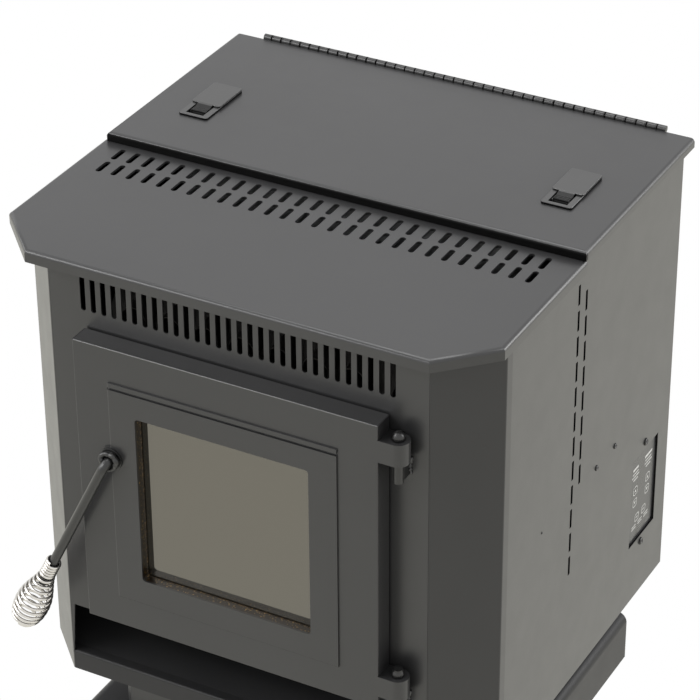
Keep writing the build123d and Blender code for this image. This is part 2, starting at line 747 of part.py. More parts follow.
    with BuildPart() as collar:
        with BuildSketch(Plane.XZ.offset(-DOOR_FRONT_Y + 2)):
            with Locations((HANDLE_X, HANDLE_Z)):
                Circle(13.6)
                Circle(ROD_R + 0.08, mode=Mode.SUBTRACT)
        extrude(amount=2.5)
        with BuildSketch(Plane.XZ.offset(-DOOR_FRONT_Y + 4.5)):
            with Locations((HANDLE_X, HANDLE_Z)):
                Circle(10)
                Circle(ROD_R + 0.08, mode=Mode.SUBTRACT)
        extrude(amount=1.5)
    finish(collar, "handle_collar")


def make_door_pins():
    """Upright hinge pins on stand-off blocks; the door's lugs drop over them."""
    pin_below, pin_above, block_w = 25.6, 9.4, 11.0
    with BuildPart() as pins:
        for top in LUG_TOPS:
            with BuildSketch(Plane.XY.offset(top - LUG_H - pin_below)):
                with Locations((PIN_X, PIN_Y)):
                    Circle(PIN_R)
            extrude(amount=pin_below + LUG_H + pin_above)
            with BuildSketch(Plane.XY.offset(top - LUG_H - pin_below + 2.5)):
                with Locations((PIN_X, (PIN_Y + FRONT_Y) / 2 + 1)):
                    Rectangle(block_w, FRONT_Y - PIN_Y - 2)
            extrude(amount=pin_below - 3)
        ends = pins.edges().filter_by(GeomType.CIRCLE).group_by(Axis.Z)
        fillet(ends[-1], radius=PIN_R - 0.05)
        fillet(pins.edges().filter_by(GeomType.CIRCLE).group_by(Axis.Z)[0], radius=2)
    finish(pins, "door_hinge_pins")


# ---------------------------------------------------------------- door handle
def rod_direction():
    lean = math.radians(ROD_LEAN)
    return Vector(-math.sin(lean), 0, -math.cos(lean))


def make_handle_rod():
    """Bent rod: through the door, one bend, then down to the grip."""
    elbow = Vector(HANDLE_X, ROD_Y, HANDLE_Z)
    end = elbow + rod_direction() * (ROD_RUN + 34)
    with BuildPart() as rod:
        with BuildLine() as run:
            FilletPolyline((HANDLE_X, -233.8, HANDLE_Z), elbow, end, radius=11)
        with BuildSketch(Plane(origin=run.line @ 0, z_dir=run.line % 0)):
            Circle(ROD_R)
        sweep()
    finish(rod, "handle_rod")

    with BuildPart() as cam:
        with BuildSketch(Plane.XZ.offset(240)):
            with Locations((HANDLE_X, HANDLE_Z)):
                Circle(7.4)
            with Locations((HANDLE_X - 10, HANDLE_Z)):
                Rectangle(18, 9)
            with Locations((HANDLE_X, HANDLE_Z)):
                Circle(ROD_R, mode=Mode.SUBTRACT)
        extrude(amount=-6)
    finish(cam, "handle_cam")


def grip_radius(s):
    """Radius of the wire's centre line at a distance s along the grip."""
    neck_r, full_r, end_r = 7.55, 18.8, 7.5
    neck_end, widest = 16.0, 75.0
    if s <= neck_end:
        return neck_r
    if s <= widest:
        share = (s - neck_end) / (widest - neck_end)
        return neck_r + (full_r - neck_r) * (1 - math.cos(math.pi * share)) / 2
    share = (s - widest) / (GRIP_LENGTH - widest)
    return end_r + (full_r - end_r) * math.sqrt(max(0.0, 1 - share ** 2.2))


def grip_advance(turn):
    """Distance along the grip after a number of turns: close at the neck, open below."""
    neck_pitch = 4.3
    rest = GRIP_TURNS - GRIP_NECK_TURNS
    if turn <= GRIP_NECK_TURNS:
        return neck_pitch * turn
    start = neck_pitch * GRIP_NECK_TURNS
    return start + (GRIP_LENGTH - 1 - start) * (turn - GRIP_NECK_TURNS) / rest


def make_grip():
    """Coil spring grip: one unbroken wire, swelling from a close-wound neck."""
    axis = rod_direction()
    across = Vector(0, -1, 0)
    third = axis.cross(across)
    start = Vector(HANDLE_X, ROD_Y, HANDLE_Z) + axis * (ROD_RUN - 4)

    def point(turn):
        s = grip_advance(turn)
        r = grip_radius(s)
        a = 2 * math.pi * turn
        return start + axis * s + across * (r * math.cos(a)) + third * (r * math.sin(a))

    def tangent(turn):
        step = 0.01
        low, high = max(0.0, turn - step), min(float(GRIP_TURNS), turn + step)
        return (point(high) - point(low)).normalized()

    def arc_middle(first, corner, last):
        chord_middle = (first + last) * 0.5
        half_chord = (last - first).length / 2
        rise = corner - chord_middle
        leg = (corner - first).length
        sagitta = half_chord * math.tan(math.acos(min(1.0, half_chord / leg)) / 2)
        return chord_middle + rise.normalized() * sagitta

    half_turns = 2 * GRIP_TURNS
    centre_points = []
    with BuildPart() as grip:
        with BuildLine() as wire:
            Line(point(0) - tangent(0) * (2 * GRIP_WIRE_R), point(0))
            for i in range(half_turns):
                p0, p1 = point(i / 2), point((i + 1) / 2)
                t0, t1 = tangent(i / 2), tangent((i + 1) / 2)
                v, t = p1 - p0, t0 + t1
                spread = 4 - t.dot(t)
                reach = (-v.dot(t) + math.sqrt(v.dot(t) ** 2 + spread * v.dot(v))) / spread
                c0, c1 = p0 + t0 * reach, p1 - t1 * reach
                joint = (c0 + c1) * 0.5
                ThreePointArc(p0, arc_middle(p0, c0, joint), joint)
                ThreePointArc(joint, arc_middle(joint, c1, p1), p1)
            last = point(GRIP_TURNS)
            Line(last, last + tangent(GRIP_TURNS) * (2 * GRIP_WIRE_R))
        with BuildSketch(Plane(origin=wire.line @ 0, z_dir=wire.line % 0)):
            Circle(GRIP_WIRE_R)
        sweep()
        samples = 32 * GRIP_TURNS
        centre_points = [wire.line @ (i / samples) for i in range(samples + 1)]
    gap = min(
        (centre_points[i] - centre_points[j]).length - 2 * GRIP_WIRE_R
        for i in range(len(centre_points))
        for j in range(i + 16, min(i + 96, len(centre_points)))
    )
    print(f"grip wire: least gap to itself {gap:.2f} mm over {GRIP_TURNS} turns")
    finish(grip, "handle_grip_coil")


# ---------------------------------------------------------------- fire side
def fire_profile(inset):
    """Side view of the firebox, front upper corner cut back, inset all round."""
    front, rear = FIRE_FRONT_Y + inset, FIRE_REAR_Y - inset
    z0, z1 = FIRE_Z0 + inset, FIRE_Z1 - inset
    return [
        (front, z0),
        (front, 605 - inset * 0.4),
        (-190 + inset * 0.4, z1),
        (rear, z1),
        (rear, z0),
    ]


def make_firebox():
    with BuildPart() as fire:
        with BuildSketch(Plane.YZ.offset(-FIRE_HALF)):
            with BuildLine():
                Polyline(*fire_profile(0), close=True)
            make_face()
        extrude(amount=2 * FIRE_HALF)
        with BuildSketch(Plane.YZ.offset(-FIRE_HALF + FIRE_WALL)):
            with BuildLine():
                Polyline(*fire_profile(FIRE_WALL), close=True)
            make_face()
        extrude(amount=2 * (FIRE_HALF - FIRE_WALL), mode=Mode.SUBTRACT)
        with BuildSketch(Plane.XZ.offset(-FIRE_FRONT_Y + 1)):
            with Locations((0, (DOORWAY_Z0 + DOORWAY_Z1) / 2)):
                Rectangle(2 * DOORWAY_HALF, DOORWAY_Z1 - DOORWAY_Z0)
        extrude(amount=-8, mode=Mode.SUBTRACT)
        with BuildSketch(Plane.XZ.offset(-FIRE_FRONT_Y)):
            with Locations((0, TUBE_Z)):
                with GridLocations(TUBE_PITCH, 1, TUBES, 1):
                    Circle(TUBE_R)
        extrude(amount=-220, mode=Mode.SUBTRACT)
        with BuildSketch(Plane.XZ.offset(-FIRE_REAR_Y - 1)):
            with Locations((INTAKE_X, INTAKE_Z)):
                Circle(INTAKE_R - 3)
            with Locations((IGNITER_X, IGNITER_Z)):
                Circle(5.2)
        extrude(amount=8, mode=Mode.SUBTRACT)
        with BuildSketch(Plane(origin=AUGER_ORIGIN, z_dir=AUGER_DIR)):
            Circle(AUGER_TUBE_R)
        extrude(amount=AUGER_LENGTH, mode=Mode.SUBTRACT)
        with BuildSketch(Plane.XY.offset(FIRE_Z0 - 1)):
            with Locations((85, -63)):
                Rectangle(56, 38)
            with Locations((85, -103)):
                Rectangle(50, 24)
        extrude(amount=8, mode=Mode.SUBTRACT)
    finish(fire, "firebox")

    with BuildPart() as tubes:
        with BuildSketch(Plane.XZ.offset(236)):
            with Locations((0, TUBE_Z)):
                with GridLocations(TUBE_PITCH, 1, TUBES, 1):
                    Circle(TUBE_R)
                    Circle(TUBE_R - 1.5, mode=Mode.SUBTRACT)
        extrude(amount=-206)
    finish(tubes, "heat_exchanger_tubes")

    inner = FIRE_HALF - FIRE_WALL
    with BuildPart() as baffle:
        with BuildSketch(Plane.YZ.offset(-inner)):
            with BuildLine():
                FilletPolyline((-215, 611), (-170, 603), (-70, 603), (-58, 591), radius=4)
            trace(line_width=3)
        extrude(amount=2 * inner)
    finish(baffle, "baffle_plate")

    with BuildPart() as cover:
        with BuildSketch(Plane.XY.offset(FIRE_Z0 + FIRE_WALL)):
            with Locations((85, -103)):
                Rectangle(64, 36)
        extrude(amount=3)
        with BuildSketch(Plane.XY.offset(FIRE_Z0 + FIRE_WALL + 3)):
            with Locations((85, -103)):
                Circle(6)
        extrude(amount=12)
    finish(cover, "ash_cleanout_cover")

    with BuildPart() as catch:
        with BuildSketch(Plane.XZ.offset(243.3)):
            with Locations((-DOORWAY_HALF - 8.5, HANDLE_Z)):
                Rectangle(14, 44)
        extrude(amount=-3)
        chamfer(catch.edges().filter_by(Axis.X).group_by(Axis.Y)[-1], length=2, length2=8)
    finish(catch, "door_catch")


def make_burn_pot():
    pot_y = -116.0
    box_z1 = 336.0
    with BuildPart() as box:
        with BuildSketch(Plane.XY.offset(FIRE_Z0 + FIRE_WALL)):
            with Locations((-28, -104)):
                Rectangle(150, 127.8)
        extrude(amount=box_z1 - FIRE_Z0 - FIRE_WALL)
        with BuildSketch(Plane.XY.offset(FIRE_Z0 + FIRE_WALL - 1)):
            with Locations((-28, -104)):
                Rectangle(144, 121.8)
        extrude(amount=box_z1 - FIRE_Z0 - FIRE_WALL - 2, mode=Mode.SUBTRACT)
        with BuildSketch(Plane.XY.offset(box_z1 - 5)):
            with Locations((0, pot_y)):
                Rectangle(90, 78)
        extrude(amount=10, mode=Mode.SUBTRACT)
        with BuildSketch(Plane.XZ.offset(30)):
            with Locations((INTAKE_X, INTAKE_Z)):
                Circle(INTAKE_R - 3)
            with Locations((IGNITER_X, IGNITER_Z)):
                Circle(5.2)
        extrude(amount=16, mode=Mode.SUBTRACT)
    finish(box, "air_box")

    with BuildPart() as pot:
        with BuildSketch(Plane.XY.offset(296)):
            with Locations((0, pot_y)):
                Rectangle(84, 72)
        extrude(amount=58, taper=-3)
        with BuildSketch(Plane.XY.offset(box_z1 + 0.3)):
            with Locations((0, pot_y)):
                Rectangle(104, 92)
        extrude(amount=3)
        with BuildSketch(Plane.XY.offset(300)):
            with Locations((0, pot_y)):
                Rectangle(78, 66)
        extrude(amount=60, taper=-3, mode=Mode.SUBTRACT)
        with BuildSketch(Plane.XY.offset(290)):
            with Locations((0, pot_y)):
                with GridLocations(18, 18, 4, 3):
                    RegularPolygon(3, 6)
        extrude(amount=15, mode=Mode.SUBTRACT)
    finish(pot, "burn_pot")

    with BuildPart() as igniter:
        with BuildSketch(Plane.XZ.offset(76)):
            with Locations((IGNITER_X, IGNITER_Z)):
                Circle(5)
        extrude(amount=-96)
        with BuildSketch(Plane.XZ.offset(36)):
            with Locations((IGNITER_X, IGNITER_Z)):
                RegularPolygon(9, 6)
        extrude(amount=-9)
    finish(igniter, "igniter")


# ---------------------------------------------------------------- pellet feed
def make_hopper():
    """Open-topped hopper: straight walls, four sloping sides and a throat."""
    wall = 1.5
    half, y0, y1 = 205.0, -8.0, 241.0
    middle = (y0 + y1) / 2
    bend_z, throat_z, top_z = 540.0, 424.0, TOP_Z - TOP_SHEET
    throat_y = 122.0
    with BuildPart() as hopper:
        with BuildSketch(Plane.XY.offset(bend_z)):
            with Locations((0, middle)):
                Rectangle(2 * half, y1 - y0)
        extrude(amount=top_z - bend_z)
        with BuildSketch(Plane.XY.offset(top_z - wall)):
            with Locations((0, middle)):
                Rectangle(2 * half + 10, y1 - y0 + 10)
        extrude(amount=wall)
        with BuildSketch(Plane.XY.offset(throat_z)):
            with Locations((0, throat_y)):
                Rectangle(60, 54)
        with BuildSketch(Plane.XY.offset(bend_z)):
            with Locations((0, middle)):
                Rectangle(2 * half, y1 - y0)
        loft()
        with BuildSketch(Plane.XY.offset(throat_z)):
            with Locations((0, throat_y)):
                Rectangle(60, 54)
        extrude(amount=-40)
        with BuildSketch(Plane.XY.offset(bend_z)):
            with Locations((0, middle)):
                Rectangle(2 * (half - wall), y1 - y0 - 2 * wall)
        extrude(amount=top_z - bend_z + 1, mode=Mode.SUBTRACT)
        with BuildSketch(Plane.XY.offset(throat_z)):
            with Locations((0, throat_y)):
                Rectangle(60 - 2 * wall, 54 - 2 * wall)
        with BuildSketch(Plane.XY.offset(bend_z)):
            with Locations((0, middle)):
                Rectangle(2 * (half - wall), y1 - y0 - 2 * wall)
        loft(mode=Mode.SUBTRACT)
        with BuildSketch(Plane.XY.offset(throat_z + 0.1)):
            with Locations((0, throat_y)):
                Rectangle(60 - 2 * wall, 54 - 2 * wall)
        extrude(amount=-60, mode=Mode.SUBTRACT)
        with BuildSketch(Plane(origin=AUGER_ORIGIN, z_dir=AUGER_DIR)):
            Circle(AUGER_TUBE_R)
        extrude(amount=AUGER_LENGTH, mode=Mode.SUBTRACT)
    finish(hopper, "hopper")


def auger_plane(along):
    """Plane square to the auger, at a distance along its axis from the lower end."""
    origin = Vector(*AUGER_ORIGIN) + Vector(*AUGER_DIR) * along
    return Plane(origin=origin, x_dir=(1, 0, 0), z_dir=AUGER_DIR)


def make_auger():
    with BuildPart() as tube:
        with BuildSketch(auger_plane(-10)):
            Circle(AUGER_TUBE_R)
        extrude(amount=AUGER_LENGTH + 10)
        with BuildSketch(auger_plane(-6)):
            Circle(AUGER_BORE_R)
        extrude(amount=AUGER_LENGTH + 3, mode=Mode.SUBTRACT)
        with BuildSketch(auger_plane(-12)):
            Circle(AUGER_SHAFT_R + 0.08)
        extrude(amount=10, mode=Mode.SUBTRACT)
        with BuildSketch(Plane.XY.offset(390)):
            with Locations((0, 122)):
                Rectangle(46, 48)
        extrude(amount=60, mode=Mode.SUBTRACT)
        with BuildSketch(Plane.XY.offset(460)):
            with Locations((0, -66)):
                Rectangle(46, 26)
        extrude(amount=66, mode=Mode.SUBTRACT)
    finish(tube, "auger_tube")

    turns = 5.5
    depth = AUGER_FLIGHT_R - AUGER_SHAFT_R
    with BuildPart() as flight:
        with BuildLine() as spiral:
            Helix(pitch=AUGER_PITCH, height=AUGER_PITCH * turns, radius=AUGER_SHAFT_R)
        with BuildSketch(Plane(origin=spiral.line @ 0, x_dir=(1, 0, 0), z_dir=spiral.line % 0)):
            with Locations((depth / 2 - 0.5, 0)):
                Rectangle(depth + 1, 3)
        sweep(path=spiral.line, is_frenet=True)
    placed_flight = auger_plane(4).location * flight.part

    with BuildPart() as screw:
        with BuildSketch(auger_plane(-30)):
            Circle(AUGER_SHAFT_R)
        extrude(amount=AUGER_LENGTH + 18)
        add(placed_flight)
    finish(screw, "auger_screw")

    with BuildPart() as motor:
        with BuildSketch(auger_plane(-12)):
            RectangleRounded(62, 62, 6)
        extrude(amount=-36)
        with BuildSketch(auger_plane(-48)):
            Circle(27)
        extrude(amount=-38)
        with BuildSketch(auger_plane(-11)):
            Circle(AUGER_SHAFT_R + 0.08)
        extrude(amount=-24, mode=Mode.SUBTRACT)
    finish(motor, "auger_motor")


# ---------------------------------------------------------------- blowers
def scroll(centre, first_r, growth):
    """Four quarter arcs whose radius grows: corner points and arc middles."""
    corners = []
    middles = []
    for i in range(9):
        angle = math.radians(-90 + 45 * i)
        r = first_r + growth * i / 8
        place = (centre[0] + r * math.cos(angle), centre[1] + r * math.sin(angle))
        (corners if i % 2 == 0 else middles).append(place)
    return corners, middles


def make_exhaust_blower():
    y0, y1 = -34.0, 16.0
    out_x0, out_x1 = 108.0, 152.0
    with BuildPart() as housing:
        for inset, mode in ((0, Mode.ADD), (2, Mode.SUBTRACT)):
            rows, mids = scroll((FAN_X, FAN_Z), 64 - inset, 14)
            with BuildSketch(Plane.XZ.offset(-y0 - inset)):
                with BuildLine():
                    for i in range(4):
                        ThreePointArc(rows[i], mids[i], rows[i + 1])
                    Line(rows[4], rows[0])
                make_face()
                with Locations(((out_x0 + out_x1) / 2, (FAN_Z + 326 + 3 * inset) / 2)):
                    Rectangle(out_x1 - out_x0 - 2 * inset, 326 + 3 * inset - FAN_Z)
            extrude(amount=-(y1 - y0 - 2 * inset), mode=mode)
        with BuildSketch(Plane.XZ.offset(-y0 + 1)):
            with Locations((FAN_X, FAN_Z)):
                Circle(30)
        extrude(amount=-6, mode=Mode.SUBTRACT)
        with BuildSketch(Plane.XZ.offset(-y1 + 4)):
            with Locations((FAN_X, FAN_Z)):
                Circle(6)
        extrude(amount=-8, mode=Mode.SUBTRACT)
    finish(housing, "exhaust_blower_housing")

    with BuildPart() as wheel:
        with BuildSketch(Plane.XZ.offset(-8)):
            with Locations((FAN_X, FAN_Z)):
                Circle(54)
        extrude(amount=2.5)
        with BuildSketch(Plane.XZ.offset(-6)):
            with Locations((FAN_X, FAN_Z)):
                Circle(10)
                with PolarLocations(34, 8):
                    Rectangle(36, 2)
        extrude(amount=32)
        with BuildSketch(Plane.XZ.offset(-30)):
            with Locations((FAN_X, FAN_Z)):
                Circle(4)
        extrude(amount=26)
    finish(wheel, "exhaust_impeller")

    with BuildPart() as motor:
        with BuildSketch(Plane.XZ.offset(-17)):
            with Locations((FAN_X, FAN_Z)):
                Circle(40)
        extrude(amount=-62)
        fillet(motor.faces().sort_by(Axis.Y)[-1].edges(), radius=6)
        with BuildSketch(Plane.XZ.offset(-16)):
            with Locations((FAN_X, FAN_Z)):
                Circle(4.08)
        extrude(amount=-16, mode=Mode.SUBTRACT)
    finish(motor, "exhaust_blower_motor")

    with BuildPart() as collector:
        with BuildSketch(Plane.XY.offset(200)):
            with Locations((FAN_X, -80.2)):
                Rectangle(100, 88)
        extrude(amount=FIRE_Z0 - 200)
        with BuildSketch(Plane.XY.offset(203)):
            with Locations((FAN_X, -80.2)):
                Rectangle(94, 82)
        extrude(amount=FIRE_Z0 - 200, mode=Mode.SUBTRACT)
        with BuildSketch(Plane.XZ.offset(45)):
            with Locations((FAN_X, FAN_Z - 6)):
                Circle(24)
        extrude(amount=-12, mode=Mode.SUBTRACT)
    finish(collector, "exhaust_collector")


def make_pipes():
    with BuildPart() as flue:
        with BuildLine() as run:
            FilletPolyline(
                (EXHAUST_X, -9, 326),
                (EXHAUST_X, -9, EXHAUST_Z + 12),
                (EXHAUST_X, 90, EXHAUST_Z + 12),
                radius=46,
            )
        with BuildSketch(Plane(origin=run.line @ 0, z_dir=run.line % 0)):
            Circle(22)
            Circle(20, mode=Mode.SUBTRACT)
        sweep()
    finish(flue, "exhaust_elbow")

    with BuildPart() as pipe:
        with BuildSketch(Plane.XZ.offset(-88)):
            with Locations((EXHAUST_X, EXHAUST_Z)):
                Circle(EXHAUST_R - 1)
        extrude(amount=-(REAR_Y + 1 - 88))
        with BuildSketch(Plane.XZ.offset(-REAR_Y - 1)):
            with Locations((EXHAUST_X, EXHAUST_Z)):
                Circle(EXHAUST_R)
        extrude(amount=-50)
        with BuildSketch(Plane.XZ.offset(-90)):
            with Locations((EXHAUST_X, EXHAUST_Z)):
                Circle(EXHAUST_R - 2.5)
        extrude(amount=-REAR_Y, mode=Mode.SUBTRACT)
        with BuildSketch(Plane.XZ.offset(-80)):
            with Locations((EXHAUST_X, EXHAUST_Z + 12)):
                Circle(22)
        extrude(amount=-20, mode=Mode.SUBTRACT)
    finish(pipe, "exhaust_pipe")

    with BuildPart() as intake:
        with BuildSketch(Plane.XZ.offset(-FIRE_REAR_Y)):
            with Locations((INTAKE_X, INTAKE_Z)):
                Circle(INTAKE_R - 0.8)
        extrude(amount=-(REAR_Y + 1 - FIRE_REAR_Y))
        with BuildSketch(Plane.XZ.offset(-REAR_Y - 1)):
            with Locations((INTAKE_X, INTAKE_Z)):
                Circle(INTAKE_R)
        extrude(amount=-30)
        with BuildSketch(Plane.XZ.offset(-FIRE_REAR_Y + 1)):
            with Locations((INTAKE_X, INTAKE_Z)):
                Circle(INTAKE_R - 2.4)
        extrude(amount=-2 * REAR_Y, mode=Mode.SUBTRACT)
    finish(intake, "air_intake_pipe")


def make_room_blower():
    x0, x1 = -212.0, -136.0
    with BuildPart() as housing:
        for inset, mode in ((0, Mode.ADD), (1.5, Mode.SUBTRACT)):
            rows, mids = scroll((ROOM_FAN_Y, ROOM_FAN_Z), 68 - inset, 14)
            with BuildSketch(Plane.YZ.offset(x0 + inset)):
                with BuildLine():
                    for i in range(4):
                        ThreePointArc(rows[i], mids[i], rows[i + 1])
                    Line(rows[4], rows[0])
                make_face()
                with Locations((ROOM_FAN_Y + 57, (ROOM_FAN_Z + 345 + 3 * inset) / 2)):
                    Rectangle(48 - 2 * inset, 345 + 3 * inset - ROOM_FAN_Z)
            extrude(amount=x1 - x0 - 2 * inset, mode=mode)
        with BuildSketch(Plane.YZ.offset(x0 - 1)):
            with Locations((ROOM_FAN_Y, ROOM_FAN_Z)):
                Circle(38)
        extrude(amount=5, mode=Mode.SUBTRACT)
        with BuildSketch(Plane.YZ.offset(x1 - 3)):
            with Locations((ROOM_FAN_Y, ROOM_FAN_Z)):
                Circle(6)
        extrude(amount=5, mode=Mode.SUBTRACT)
    finish(housing, "room_blower_housing")

    with BuildPart() as wheel:
        with BuildSketch(Plane.YZ.offset(-206)):
            with Locations((ROOM_FAN_Y, ROOM_FAN_Z)):
                Circle(57)
                Circle(48, mode=Mode.SUBTRACT)
        extrude(amount=2)
        with BuildSketch(Plane.YZ.offset(-204)):
            with Locations((ROOM_FAN_Y, ROOM_FAN_Z)):
                with PolarLocations(52.5, 24):
                    Rectangle(8, 1.5, rotation=35)
        extrude(amount=58)
        with BuildSketch(Plane.YZ.offset(-146)):
            with Locations((ROOM_FAN_Y, ROOM_FAN_Z)):
                Circle(57)
        extrude(amount=2.5)
        with BuildSketch(Plane.YZ.offset(-160)):
            with Locations((ROOM_FAN_Y, ROOM_FAN_Z)):
                Circle(4)
        extrude(amount=42)
    finish(wheel, "room_blower_wheel")

    with BuildPart() as motor:
        with BuildSketch(Plane.YZ.offset(-135)):
            with Locations((ROOM_FAN_Y, ROOM_FAN_Z)):
                Circle(36)
        extrude(amount=40)
        fillet(motor.faces().sort_by(Axis.X)[-1].edges(), radius=6)
        with BuildSketch(Plane.YZ.offset(-136)):
            with Locations((ROOM_FAN_Y, ROOM_FAN_Z)):
                Circle(4.08)
        extrude(amount=20, mode=Mode.SUBTRACT)
    finish(motor, "room_blower_motor")


# ---------------------------------------------------------------- controls
def make_controls():
    with BuildPart() as keypad:
        with BuildSketch(Plane.YZ.offset(BODY_HALF - SHEET)):
            with Locations((KEYPAD_Y, KEYPAD_Z)):
                Rectangle(KEYPAD_W + 16, KEYPAD_H + 16)
                Rectangle(KEYPAD_W, KEYPAD_H, mode=Mode.SUBTRACT)
        extrude(amount=-2)
        with BuildSketch(Plane.YZ.offset(BODY_HALF - SHEET - 2)):
            with Locations((KEYPAD_Y, KEYPAD_Z)):
                Rectangle(KEYPAD_W + 16, KEYPAD_H + 16)
        extrude(amount=-2)
    finish(keypad, "control_keypad")

    with BuildPart() as box:
        with BuildSketch(Plane.YZ.offset(BODY_HALF - SHEET - 4)):
            with Locations((KEYPAD_Y, KEYPAD_Z)):
                RectangleRounded(KEYPAD_W + 8, KEYPAD_H + 8, 4)
        extrude(amount=-34)
        with BuildSketch(Plane.YZ.offset(BODY_HALF - SHEET - 38)):
            with Locations((KEYPAD_Y, KEYPAD_Z)):
                with GridLocations(1, 12, 1, 8):
                    Rectangle(60, 4)
        extrude(amount=4, mode=Mode.SUBTRACT)
    finish(box, "control_board_box")

    with BuildPart() as inlet:
        with BuildSketch(Plane.XZ.offset(-REAR_Y)):
            with Locations((INLET_X, INLET_Z)):
                RectangleRounded(40, 26, 3)
        extrude(amount=-2.5)
        with BuildSketch(Plane.XZ.offset(-REAR_Y)):
            with Locations((INLET_X, INLET_Z)):
                Rectangle(27, 19.5)
        extrude(amount=20)
        with BuildSketch(Plane.XZ.offset(-REAR_Y - 5)):
            with Locations((INLET_X, INLET_Z)):
                RectangleRounded(23.5, 16, 3)
        extrude(amount=20, mode=Mode.SUBTRACT)
    finish(inlet, "power_inlet")

    with BuildPart() as switch:
        with BuildSketch(Plane.YZ.offset(-BODY_HALF + SHEET)):
            with Locations((40, 470)):
                Circle(24)
        extrude(amount=14)
        with BuildSketch(Plane.YZ.offset(-BODY_HALF + SHEET + 14)):
            with Locations((40, 470)):
                Circle(15)
            with Locations((59.5, 470)):
                Circle(2.5)
        extrude(amount=10)
    finish(switch, "vacuum_switch")

    with BuildPart() as disc:
        with BuildSketch(Plane.XY.offset(FIRE_Z1)):
            with Locations((-110, -90)):
                Circle(9)
        extrude(amount=9)
        with BuildSketch(Plane.XY.offset(FIRE_Z1)):
            with Locations((-110, -90)):
                SlotOverall(34, 10)
        extrude(amount=1.2)
    finish(disc, "high_limit_switch")


def make_screws():
    """Pan-head screws on the side panels."""
    low_z = TOP_Z - 303.0
    with BuildPart() as screws:
        for side in (-1, 1):
            with BuildSketch(Plane.YZ.offset(side * BODY_HALF)):
                with Locations((-94, low_z), (48.5, low_z), (99, low_z)):
                    Circle(3.2)
            extrude(amount=side * 1.4)
        with BuildSketch(Plane.YZ.offset(BODY_HALF)):
            with Locations((KEYPAD_Y, KEYPAD_Z + 70), (KEYPAD_Y, KEYPAD_Z - 70)):
                Circle(3.2)
        extrude(amount=1.4)
    finish(screws, "panel_screws")


make_base()
make_column()
make_cabinet_floor()
make_front_lip()
make_side_panel(-1, "left_side_panel", False)
make_side_panel(1, "right_side_panel", True)
make_front_panel()
make_rear_panel()
make_top_plate()
make_lid_gasket()
make_lid()
make_lid_hinge()
make_latches()
make_latch_lever(LATCH_LEFT_X, "left_latch_lever")
make_latch_lever(LATCH_RIGHT_X, "right_latch_lever")
make_door()
make_door_pins()
make_handle_rod()
make_grip()
make_firebox()
make_burn_pot()
make_hopper()
make_auger()
make_exhaust_blower()
make_pipes()
make_room_blower()
make_controls()
make_screws()
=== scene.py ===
"""Dresses the pellet stove's frame: finishes, coil grip, control panel, screws, welds and stage."""
import math

import bpy
import numpy as np
from bpy.props import FloatProperty, FloatVectorProperty, IntProperty, PointerProperty
from mathutils import Matrix


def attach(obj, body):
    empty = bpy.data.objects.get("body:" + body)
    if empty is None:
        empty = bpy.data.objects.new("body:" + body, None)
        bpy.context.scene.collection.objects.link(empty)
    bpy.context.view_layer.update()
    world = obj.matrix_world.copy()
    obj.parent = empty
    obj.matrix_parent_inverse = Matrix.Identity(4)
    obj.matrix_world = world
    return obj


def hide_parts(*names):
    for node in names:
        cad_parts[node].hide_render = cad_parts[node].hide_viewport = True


bl_info = {
    "name": "Pellet Stove Dresser",
    "version": (1, 0, 0),
    "blender": (4, 5, 0),
    "location": "View3D > Sidebar > Pellet Stove",
    "description": "Builds the finishes and small pieces of a pellet stove on its frame",
    "category": "Object",
}

MM = 0.001
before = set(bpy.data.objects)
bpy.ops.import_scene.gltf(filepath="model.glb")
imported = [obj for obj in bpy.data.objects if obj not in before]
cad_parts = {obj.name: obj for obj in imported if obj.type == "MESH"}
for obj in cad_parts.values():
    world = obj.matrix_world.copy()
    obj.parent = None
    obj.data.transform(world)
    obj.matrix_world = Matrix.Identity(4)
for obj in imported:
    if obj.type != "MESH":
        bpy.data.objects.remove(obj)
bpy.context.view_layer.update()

# ------------------------------------------------------------------ places on the frame, in millimetres
SIDE_X = 285.75                       # outer faces of the side panels
SIDE_SKIN_X = 285.1                   # the side slots' walls deeper than this are painted black, as shade
FACET_Y = -180.0                      # the corner facets lie in front of this
SLOT_ROWS = ((-17.6, 671.6, 12),      # side slots: y of the row, z of its top slot, slots in it
             (1.7, 655.8, 8))
SLOT_PITCH = 31.75
SLOT_REACH = 12.2                     # half the height of a side slot
SLOT_SHADE = 2.5                      # half the width of the painted shade stripe, black and without gloss, laid along each side slot
LID_FLANGE_Y = -22.6                  # just behind the lid's upright front flange
PAN_RIM_Z = 730.3                     # just under the rim of the latch pans
LEVER_PLATE_Z = 732.2                 # just under the top of the lever plates
BARREL_Y, BARREL_Z = 266.2, 725.0     # front and foot of the lid hinge's barrel
KNUCKLE_PITCH = 12.7
KNUCKLE_COUNT = 41
KNUCKLE_GAP = 0.9                     # half the width of the painted shade line, black and without gloss, between two knuckles
DOOR_X, DOOR_HALF = -0.7, 182.0       # middle and half width of the door
DOOR_TOP_Z = 624.3
BEZEL_X, BEZEL_Z = -2.9, 443.7        # middle of the bezel
BEZEL_HALF_W, BEZEL_HALF_H = 138.5, 139.5
WINDOW_X, WINDOW_Z = -3.6, 441.0      # middle of the window
WINDOW_HALF = 106.3
WINDOW_FACE_Y = -276.4
PIN_X, PIN_Y = 199.7, -264.3          # hinge line of the door
LUG_TOPS = (607.2, 306.6)
SCREWS = ((-94.0, 0.45), (48.5, 1.0), (99.0, 1.0))  # side screws: y, and share of the usual size
SCREW_Z = 414.0
PANEL_SCREW_Y = 191.0                 # the two screws that hold the control panel
PANEL_SCREW_ZS = (366.5, 226.5)
PANEL_SCREW_SHARE = 1.35
KEYPAD_MIDDLE = (192.2, 296.5)        # y, z of the control panel
KEYPAD_FACE = 281.75
OVERLAY_THICK = 1.4
